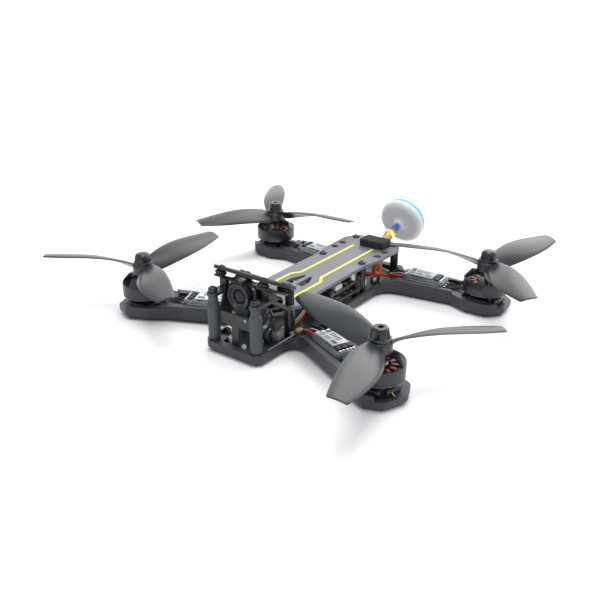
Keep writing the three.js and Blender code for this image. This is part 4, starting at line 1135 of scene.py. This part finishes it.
def make_wires():
    """The looms inside the body, in four colours."""
    rng = random.Random(4)
    looms = [
        ("black", [(5, -69, 12), (9, -64, 17), (7, -58, 20), (2, -52, 19), (-4, -46, 14)], 0.8),
        ("black", [(6.5, -70, 9), (12, -66, 14), (12.5, -60, 20), (7, -56, 22)], 0.9),
        ("red", [(19, -44, 8), (16, -38, 6.4), (10, -30, 6.4), (6, -20, 7.4), (5, -11, 10)], 0.8),
        ("black", [(19, -41, 8), (15, -35, 7), (8, -28, 7), (2, -19, 10), (1, -11, 12.6)], 0.8),
        ("yellow", [(4, -62, 7), (8, -54, 6), (9, -46, 6), (10, -36, 7), (9, -24, 11), (8, -12, 15)], 0.4),
        ("white", [(3, -62, 8), (7, -54, 7), (8, -45, 7), (9, -34, 8), (8, -23, 12), (7, -12, 16)], 0.4),
        ("red", [(19, 57, 9), (15, 50, 11), (11, 43, 13), (8, 34, 13), (6, 26, 12)], 0.9),
        ("black", [(19, 60, 9), (13, 53, 9), (9, 45, 11), (5, 36, 13), (3, 26, 12)], 0.9),
        ("white", [(17, 62, 10), (9, 56, 13), (4, 46, 15), (6, 36, 17), (6, 25, 17)], 0.5),
        ("red", [(-19, 57, 9), (-15, 50, 11), (-11, 43, 13), (-8, 34, 13), (-6, 26, 12)], 0.9),
        ("black", [(-19, 60, 9), (-13, 53, 9), (-9, 45, 11), (-5, 36, 13), (-4, 26, 12)], 0.9),
        ("red", [(-19, -44, 8), (-16, -38, 6.4), (-10, -30, 6.4), (-6, -20, 7.4), (-5, -11, 10)], 0.8),
        ("black", [(-19, -41, 8), (-15, -35, 7), (-8, -28, 7), (-4, -19, 10), (-3, -11, 12.6)], 0.8),
        ("black", [(-2, 60, 19), (-6, 52, 18), (-5, 42, 18), (-2, 32, 19), (-2, 24, 17)], 0.7),
        ("yellow", [(0, 60, 18.5), (-3, 52, 16), (-2, 42, 16), (1, 32, 18), (1, 24, 17)], 0.45),
    ]
    for colour, points, radius in looms:
        jittered = [points[0]] + [tuple(c + rng.uniform(-0.5, 0.5) for c in p) for p in points[1:-1]] + [points[-1]]
        wires[colour].append(wire(jittered, radius))
    for side, end, _, _ in CORNERS.values():
        place = arm_place(end)
        add_arm_wire(
            "yellow", [(9.2, -0.8, 9.6), (11.1, -0.2, 8.6), (12.6, 0.3, 7.3), (13.6, 0.6, 6.4)], place,
            side, 0.34
        )
        add_arm_wire(
            "black", [(8.8, 3.4, 9.6), (11, 3.4, 8.2), (12.6, 2.4, 6.8), (13.2, 1, 6.3)], place, side,
            0.36
        )
    for colour, runs in wires.items():
        piece(f"wires_{colour}", merged(*runs), WIRES[colour], sharp=60)


# ------------------------------------------------------------------ boards


def make_boards():
    """Two stacked boards with chips, plugs, pins, a capacitor and corner posts."""
    low, high = span("power_board")
    centre = (low.y + high.y) / 2
    half = (high.x - low.x) / 2
    upper_low = span("flight_controller")[0].z
    for name, z, node in (
        ("power_board", low.z, "power_board"), ("flight_board", upper_low, "flight_controller")
    ):
        outline = rounded(
            [
                (-half, centre - half, 2), (half, centre - half, 2), (half, centre + half, 2),
                (-half, centre + half, 2)
            ]
        )
        corners = [(sx * PATTERN, centre + sy * PATTERN) for sx, sy in QUARTERS]
        holes = [list(reversed(disc(x, y, 1.8))) for x, y in corners]
        top = z + BOARD_THICKNESS
        board = holed_slab(outline, holes, z, top)
        rings = [
            placed(closed_turn([(1.85, top), (2.9, top), (2.9, top + 0.06), (1.85, top + 0.06)], 24, 0),
                   Matrix.Translation((x, y, 0)))
            for x, y in corners
        ]
        piece(
            f"{name}_sheet", merged(board, painted(merged(*rings), 1)), [BOARD, GOLD], replaces=[node],
            bevel=0.08
        )
    top, bottom = upper_low + BOARD_THICKNESS, low.z + BOARD_THICKNESS
    big = [
        ((0, centre, top + 0.5), 9, 9, 1.0), ((-8, centre - 8, top + 0.4), 5, 4, 0.8),
        ((9, centre + 6, top + 0.4), 4, 6, 0.8)
    ]
    shapes = [brick((w, d, h), at, 0.12) for at, w, d, h in big]
    shapes += [
        brick((11, 9, 1.4), (-2, centre + 2, bottom + 0.7), 0.15),
        brick((6, 6, 1.4), (11, centre - 8, bottom + 0.7), 0.15)
    ]
    piece("board_chips", merged(*shapes), CHIP)
    rng = random.Random(9)
    places = []
    for z in (top, bottom):
        for _ in range(90):
            x, y = rng.uniform(-half + 1.5, half - 1.5), centre + rng.uniform(-half + 1.5, half - 1.5)
            if any(abs(x - at[0]) < w / 2 + 1 and abs(y - at[1]) < d / 2 + 1 for at, w, d, _ in big):
                continue
            if abs(abs(x) - PATTERN) < 3.6 and abs(abs(y - centre) - PATTERN) < 3.6:
                continue
            places.append(((x, y, z + 0.3), (0, 0, rng.choice((0, 90))), rng.uniform(0.8, 1.5)))
    repeated("board_small_parts", brick((1.4, 0.8, 0.6), edge=0.12), places[::2], CONNECTOR)
    repeated("board_small_caps", brick((1.2, 0.7, 0.6), edge=0.12), places[1::2], SOLDER)
    plugs = [
        ((14.9, -0.5, top + 1.7), 5.0, 7.5, 3.4), ((-14, 8, top + 1.6), 4, 8, 3.2),
        ((0, centre - 14.6, top + 1.4), 10, 4.5, 2.8), ((0, centre + 15, top + 1.4), 9, 4.5, 2.8)
    ]
    shells = [brick((w, d, h), at, 0.25) for at, w, d, h in plugs]
    piece("board_plugs", merged(*shells), CONNECTOR, bevel=0.1)
    pins = []
    for at, w, d, h in plugs:
        count = int(max(w, d) / 1.25)
        for k in range(count):
            offset = (k - (count - 1) / 2) * 1.2
            x, y = (at[0] + offset, at[1]) if w > d else (at[0], at[1] + offset)
            pins.append(((x, y, at[2] + h / 2 + 0.02), (0, 0, 0), 1.0))
    repeated("board_pins", brick((0.7, 0.7, 0.5), edge=0.1), pins, CHIP)
    can = placed(
        turned([(0, 0), (3.1, 0), (3.1, 5.2), (2.9, 5.6), (0, 5.6)], 36, 0.3),
        Matrix.Translation((14.4, 18, top + 0.05))
    )
    piece("board_capacitor", can, CAN)
    nut_top = top + 2
    for end, sy in (("front", -1), ("rear", 1)):
        for hand, sx in SIDES.items():
            x, y = sx * PATTERN, centre + sy * PATTERN
            profile = [(0, FLOOR_Z), (2.6, FLOOR_Z), (2.6, low.z), (1.5, low.z), (1.5, bottom), (2.6, bottom)]
            profile += [
                (2.6, upper_low), (1.5, upper_low), (1.5, top), (2.4, top), (2.4, nut_top), (0, nut_top)
            ]
            post = turned(profile, 28, 0.15)
            piece(f"board_post_{end}_{hand}", placed(post, Matrix.Translation((x, y, 0))), NYLON,
                  replaces=[f"stack_post_{end}_{hand}"])


def make_loose_parts():
    """The choke, capacitors, nose hardware, light strips, plugs and video link."""
    low, high = span("choke_coil")
    centre = Vector(((low.x + high.x) / 2, (low.y + high.y) / 2, high.z - 5.1))
    turns = []
    for k in range(26):
        a = 2 * math.pi * k / 26
        loop = []
        for j in range(9):
            b = 2 * math.pi * j / 8
            r = 3.4 + 1.5 * math.cos(b)
            tilt = a + 0.03 * j
            loop.append(
                (
                    centre.x + 1.5 * math.sin(b), centre.y + r * math.cos(tilt),
                    centre.z + r * math.sin(tilt)
                )
            )
        turns.append(wire(loop, 0.3, 6))
    core = []
    for k in range(28):
        a = 2 * math.pi * k / 28
        core.append(
            [
                (
                    centre.x + 1.15 * math.sin(b), centre.y + (3.4 + 1.15 * math.cos(b)) * math.cos(a),
                    centre.z + (3.4 + 1.15 * math.cos(b)) * math.sin(a)
                )
                for b in (2 * math.pi * j / 10 for j in range(10))
            ]
        )
    ring = ring_loft(core, loop=True)
    foot = brick((2.6, 4.6, 4.6), (centre.x, centre.y, low.z + 2.3), 0.3)
    piece(
        "choke_winding", merged(*turns, painted(merged(ring, foot), 1)), [CHOKE, NYLON],
        replaces=["choke_coil"], sharp=60
    )
    low, high = span("capacitor")
    centre = (low + high) / 2
    across = Matrix.Translation(centre) @ Matrix.Rotation(math.pi / 2, 4, "Y")
    can = turned(
        [
            (0, -6.5), (3.9, -6.5), (3.9, -5.4), (3.6, -5.1), (3.6, -4.8), (3.95, -4.5), (3.95, 6.4),
            (0, 6.5)
        ],
        40, 0.3
    )
    piece("bulk_capacitor", placed(can, across), CAN, replaces=["capacitor"])
    small = []
    for radius, height, spot, lean in (
        (2.6, 6, (14.5, 33.5, FLOOR_Z + 4), 0),
        (2.4, 5.4, (14.8, 46, FLOOR_Z + 1), 0),
        (2.2, 5, (7, -66, FLOOR_Z + 6), 1.2),
    ):
        can = turned([(0, 0), (radius, 0), (radius, height), (0, height + 0.1)], 28, 0.35)
        small.append(placed(can, Matrix.Translation(spot) @ Matrix.Rotation(lean, 4, "X")))
    piece("filter_capacitors", merged(*small), CAN)
    dots = [
        placed(turned([(0, 0), (1.7, 0), (1.9, 0.6), (1.5, 1.3), (0, 1.6)], 24, 0.2),
               Matrix.Translation((4.2, -75.6, FLOOR_Z + 1.2)) @ Matrix.Rotation(1.1, 4, "X")),
        brick((4.4, 2.6, 3.4), (-5.4, -74.4, FLOOR_Z + 3.4), 0.3),
    ]
    piece("nose_nylon_screw", merged(*dots), WHITE_NYLON)
    silver = [
        brick((5.5, 1.4, 6), (-7.8, -72.6, FLOOR_Z + 6.2), 0.25),
        brick((4.8, 5, 4), (9.5, -70, FLOOR_Z + 3), 0.3)
    ]
    piece("nose_board", merged(*silver), SOLDER)
    blobs = []
    for side in (-1, 1):
        blobs.append(brick((5.6, 7, 5), (side * 12.6, -58, 15.6), 1.6))
        blobs.append(painted(brick((5.2, 6.4, 6), (side * 13.2, -57, 9), 1.2), 1))
    piece("nose_foam_blocks", merged(*blobs), [GREY_FOAM, PALE_FOAM], sharp=60)
    strip, plugs = [], []
    for side in (-1, 1):
        for k in range(9):
            strip.append(brick((0.9, 1.2, 0.8), (side * 18.9, -72 + 2.5 * k, BODY_RIM + 0.45), 0.15))
        strip.append(
            wire(
                [
                    (side * 18.7, -73, BODY_RIM + 0.3), (side * 19, -60, BODY_RIM + 0.3),
                    (side * 19.4, -48, BODY_RIM + 0.8)
                ],
                0.25
            )
        )
        plugs.append(brick((3, 4.4, 2), (side * 19.8, -45.4, BODY_RIM + 1.9), 0.25))
        plugs.append(brick((2, 2.6, 1.6), (side * 17.6, -49.6, BODY_RIM + 1.4), 0.2))
    piece("rim_light_strip", merged(*strip), CAN, sharp=45)
    piece("arm_root_plugs", merged(*plugs), PLUG_GREEN, sharp=45)
    low, high = span("video_transmitter")
    size, centre = high - low, (low + high) / 2
    box = brick(tuple(size), tuple(centre), 0.5)
    fins = [
        brick((size.x - 3, 0.8, 0.9), (centre.x, low.y + 2.2 + 1.9 * k, low.z + 0.3), 0.15)
        for k in range(6)
    ]
    piece("video_link", merged(box, *fins), ANODISED, replaces=["video_transmitter"])


# ------------------------------------------------------------------ camera


def make_camera():
    """The lens, glass and housing, which tilt, and the cradle that holds them."""
    forward = Matrix.Translation((0, CAMERA_FRONT, LENS_Z)) @ Matrix.Rotation(math.pi / 2, 4, "X")
    r, length = LENS_RADIUS, LENS_LENGTH
    ring = turned(
        [
            (0, 0.05), (r - 0.4, 0.05), (r, 0.5), (r, 1.3), (r - 0.22, 1.45), (r - 0.22, 1.75),
            (r, 1.9), (r, length - 0.5), (r - 0.5, length), (r - 1.15, length), (r - 1.5, length - 0.8),
            (r - 1.8, length - 0.8), (r - 2.1, length - 1.5), (r - 3.1, length - 1.5),
            (r - 3.4, length - 2.2), (0, length - 2.2)
        ],
        72, 0.18
    )
    ribs = []
    for k in range(36):
        a = 2 * math.pi * k / 36
        ribs.append(
            placed(
                brick((0.35, 0.5, 1.1), (r - 0.12, 0, length - 1.35), 0.1), Matrix.Rotation(a, 4, "Z")
            )
        )
    piece(
        "lens_ring", placed(merged(ring, *ribs), forward), LENS_BLACK, "camera", ["camera_lens"],
        sharp=35
    )
    dome = turned(
        [
            (0, length - 2.3), (r - 3.5, length - 2.3), (r - 3.7, length - 1.7),
            (r - 4.6, length - 1.1), (1.4, length - 0.78), (0, length - 0.72)
        ],
        56, 0.5
    )
    piece(
        "lens_front_glass", placed(dome, forward), GLASS, "camera", ["camera_glass"],
        sharp=60
    )
    half, height = 9.9, 15
    case = slab(rectangle(-half, half, -height / 2, height / 2, 1.6), -6, 0, 0.4)
    back = brick((15, 9, 3.6), (0, -1.9, -7.6), 0.5)
    seams = [slab(rectangle(-half - 0.1, half + 0.1, -height / 2 - 0.1, height / 2 + 0.1, 1.6), -3.3, -3.0)]
    core = slab(rectangle(-half + 0.25, half - 0.25, -height / 2 + 0.25, height / 2 - 0.25, 1.4), -3.6, -2.7)
    shell = merged(carved(case, seams), core, back)
    pins = []
    for s in (-1, 1):
        pin = turned([(0, 0), (1.1, 0), (1.1, 2.2), (0, 2.2)], 20, 0.1)
        pins.append(
            placed(
                pin, Matrix.Translation((s * 9.3, 0, -4.5)) @ Matrix.Rotation(s * math.pi / 2, 4, "Y")
            )
        )
    piece(
        "camera_housing", placed(merged(shell, *pins), forward), LENS_BLACK, "camera", ["camera_case"],
        bevel=0.12
    )
    places = [((8.2 * sx, CAMERA_FRONT, LENS_Z + 5.8 * sz), (90, 0, 0), 0.34) for sx, sz in QUARTERS]
    repeated("camera_case_screws", button_screw(), places, STEEL, "camera")
    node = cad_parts["camera_bracket"]
    bracket = bmesh.new()
    bracket.from_mesh(node.data)
    bmesh.ops.remove_doubles(bracket, verts=bracket.verts, dist=1e-7)
    bmesh.ops.dissolve_limit(bracket, angle_limit=0.02, verts=bracket.verts, edges=bracket.edges)
    bmesh.ops.scale(bracket, vec=(1 / MM,) * 3, verts=bracket.verts)
    piece("camera_cradle", bracket, SHEET, replaces=["camera_bracket"], bevel=0.18, sharp=30)
    front = span("camera_bracket")[0].y
    spots = [((7.4, front, PLATE_TOP - 1.8), (90, 0, 0), 0.34)]
    repeated("bracket_screws", button_screw(2.6, 0.9), spots, STEEL)


# ------------------------------------------------------------------ action-camera cage


def make_cage():
    """The damped plates over the camera, with dampers, screws, pillars and wedges."""
    half, x_half, y_half = 1.0, 19.5, 15.2
    outline = rounded(
        mirrored(
            [
                (8, -y_half, 2), (x_half, -y_half, 3), (x_half, y_half, 3), (9, y_half, 2),
                (6, y_half - 4, 2)
            ]
        )
    )
    holes = [rectangle(min(s * 3, s * 9), max(s * 3, s * 9), -9, 5, 1.2) for s in (-1, 1)]
    plate = holed_slab(outline, [list(reversed(h)) for h in holes], -half, half)
    piece(
        "deck_plate", placed(plate, CAGE), SHEET, replaces=["action_camera_plate"],
        bevel=0.2
    )
    top = -half - 2.2 - 0.6
    bar = 7 - 2.4
    side = [(11.9, bar, 3), (11.9, 1 - y_half, 2), (18.7, 1 - y_half, 3), (18.7, bar + 6, 3)]
    damper_sheet = slab(rounded(mirrored(side)), top - 1.4, top)
    piece(
        "damper_sheet", placed(damper_sheet, CAGE), SHEET, replaces=["damper_plate"],
        bevel=0.15
    )
    middle = -half - 0.3 - 1.1
    for label, y in DAMPER_ROWS.items():
        for hand, s in SIDES.items():
            ball = turned(
                [
                    (0, -1.35), (2.5, -1.35), (2.7, -1.0), (3.4, -0.35), (3.4, 0.35), (2.7, 1.0),
                    (2.5, 1.35), (0, 1.35)
                ],
                36, 0.2
            )
            piece(
                f"rubber_damper_{label}_{hand}",
                placed(ball, CAGE @ Matrix.Translation((s * DAMPER_X, y, middle))), RUBBER,
                replaces=[f"damper_{label}_{hand}"]
            )
    turn = (-math.degrees(CAGE_PITCH), 0, 0)
    heads = []
    for y in (*DAMPER_ROWS.values(), WEDGE_SCREW_Y):
        heads += [(tuple(CAGE @ Vector((s * DAMPER_X, y, half))), turn, 0.62) for s in (-1, 1)]
    repeated("deck_screws", button_screw(2.6, 1.5), heads, BLACK_STEEL)
    for hand, s in SIDES.items():
        for node, name, look in (("cage_pillar", "pillar", RUBBER), ("cage_wedge", "wedge", SHEET)):
            copy = bmesh.new()
            copy.from_mesh(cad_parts[f"{node}_{hand}"].data)
            bmesh.ops.scale(copy, vec=(1 / MM,) * 3, verts=copy.verts)
            bmesh.ops.remove_doubles(copy, verts=copy.verts, dist=1e-4)
            piece(
                f"cage_{name}_{hand}_block", copy, look, replaces=[f"{node}_{hand}"],
                bevel=0.18, sharp=30
            )


# ------------------------------------------------------------------ foam and antenna


def make_rear():
    """The foam pad, the connector and the round antenna."""
    low, high = span("foam_block")
    size, centre = high - low, (low + high) / 2
    block = brick((size.x, size.y, size.z), tuple(centre), 0.5)
    bmesh.ops.subdivide_edges(
        block, edges=[e for e in block.edges if e.calc_length() > 2.5], cuts=5, use_grid_fill=True
    )
    piece("foam_pad", block, FOAM, replaces=["foam_block"], sharp=30)
    flats = slab(disc(0, 0, 3.9, 6), 4.6, 10.6, 0.3)
    barrel = turned([(0, -4.6), (3.3, -4.6), (3.3, -3.2), (2.8, -3.0)]
                    + [(2.9 if k % 2 else 2.65, -2.8 + 0.34 * k) for k in range(20)]
                    + [(2.9, 4.2), (0, 4.2)], 40, 0)
    neck = turned(
        [
            (0, 4.2), (3.3, 4.2), (3.3, 4.7), (3, 4.7), (3, 10.5), (3.1, 10.7), (2.9, 11.4),
            (2.4, 11.5), (2.4, 12.4), (0, 12.4)
        ],
        40, 0.15
    )
    piece(
        "coaxial_connector", placed(merged(barrel, flats, neck), ANTENNA), GOLD,
        replaces=["sma_connector"], sharp=30
    )
    boot = turned(
        [
            (0, 12.6), (2.5, 12.6), (2.5, 13.5), (2.3, 13.7), (2.3, 14.1), (2.5, 14.3), (2.5, 16.4),
            (2, 18.1), (0, 18.2)
        ],
        36, 0.2
    )
    piece("antenna_blue_boot", placed(boot, ANTENNA), BLUE, replaces=["antenna_boot"])
    r = SHELL_RADIUS
    shell = turned(
        [
            (0, 18.5), (2.9, 18.5), (3.3, 19.2), (4.3, 20.9), (5.6, 21.6), (7.5, 21.75), (11.5, 21.5),
            (13.6, 21.6), (r - 1.3, 22.4), (r - 0.3, 23.6), (r, 24.6), (r, 26.5), (r - 0.25, 26.7),
            (0, 26.7)
        ],
        96, 0.4
    )
    piece(
        "antenna_white_shell", placed(shell, ANTENNA), SHELL, replaces=["antenna_shell"],
        sharp=50
    )
    cap = turned(
        [
            (0, 26.8), (r - 0.5, 26.8), (r - 0.3, 27.1), (r - 0.3, 29), (r - 0.8, 30.2), (r - 1.9, 31),
            (r - 6, 32.1), (5, 32.6), (0, 32.75)
        ],
        96, 0.3
    )
    piece(
        "antenna_cyan_cap", placed(cap, ANTENNA), CYAN, replaces=["antenna_cap"],
        sharp=50
    )


# ------------------------------------------------------------------ camera, floor and light


def make_view():
    """The viewing camera, given by its angles and place."""
    azimuth, elevation, roll = math.radians(36.38), math.radians(24.53), math.radians(0.16)
    back = Vector(
        (
            math.sin(azimuth) * math.cos(elevation), -math.cos(azimuth) * math.cos(elevation),
            math.sin(elevation)
        )
    )
    right = Vector((0, 0, 1)).cross(back).normalized()
    up = back.cross(right)
    rolled = right * math.cos(roll) + up * math.sin(roll)
    upper = up * math.cos(roll) - right * math.sin(roll)
    camera = bpy.data.objects.new("view_camera", bpy.data.cameras.new("view_camera"))
    camera.data.lens, camera.data.sensor_width = 43.21, 36
    camera.data.clip_start, camera.data.clip_end = 0.01, 20
    camera.matrix_world = Matrix.Translation((0.24017, -0.34366, 0.19724)) @ Matrix(
        [(rolled[i], upper[i], back[i]) for i in range(3)]
    ).to_4x4()
    scene.collection.objects.link(camera)
    scene.camera = camera


def stage_sheet(name, corners, colour, **sockets):
    """A flat part of the set, with one plain finish."""
    mesh = bpy.data.meshes.new(name)
    mesh.from_pydata(corners, [], [(0, 1, 2, 3)])
    sheet = bpy.data.objects.new(name, mesh)
    scene.collection.objects.link(sheet)
    material = bpy.data.materials.new(name + "_finish")
    material.use_nodes = True
    shader = material.node_tree.nodes["Principled BSDF"]
    shader.inputs["Base Color"].default_value = (*colour, 1)
    for socket, value in sockets.items():
        shader.inputs[socket.replace("_", " ")].default_value = value
    mesh.materials.append(material)


def make_floor():
    """A pale floor just under the model, and a bright wall behind it."""
    size, low = 14, -0.0003
    corners = [(-size, -size, low), (size, -size, low), (size, size, low), (-size, size, low)]
    stage_sheet("floor", corners, (0.93, 0.93, 0.935), Roughness=0.9)
    wide, near, far, high = 8, 2.2, 2.6, 5
    corners = [(-wide, near, low), (wide, near, low), (wide, far, high), (-wide, far, high)]
    glow = {"Emission_Color": (1, 1, 1, 1), "Emission_Strength": 0.9}
    stage_sheet("backdrop", corners, (0.9, 0.9, 0.9), **glow)


def lamp(name, place, size, power):
    """A round softbox that faces the middle of the model."""
    light = bpy.data.lights.new(name, "AREA")
    light.shape, light.size, light.energy = "DISK", size, power
    obj = bpy.data.objects.new(name, light)
    obj.location = place
    obj.rotation_euler = (-Vector(place)).to_track_quat("-Z", "Y").to_euler()
    scene.collection.objects.link(obj)


def make_light():
    """An even pale sky with two softboxes."""
    world = bpy.data.worlds.new("studio")
    scene.world = world
    world.use_nodes = True
    world.node_tree.nodes["Background"].inputs["Color"].default_value = (0.95, 0.975, 1, 1)
    world.node_tree.nodes["Background"].inputs["Strength"].default_value = 0.8
    lamp("softbox_behind", (0.05, 1.15, 1.05), 1.5, 10)
    lamp("softbox_above", (0.1, -0.1, 1.5), 0.9, 11)


make_view()
make_floor()
make_light()
make_tray()
make_underside_screws()
make_top_plate()
make_stripes()
make_plate_screws()
make_posts()
for corner_name in CORNERS:
    make_motor(corner_name)
make_speed_controllers()
make_boards()
make_loose_parts()
make_wires()
make_camera()
make_cage()
make_rear()
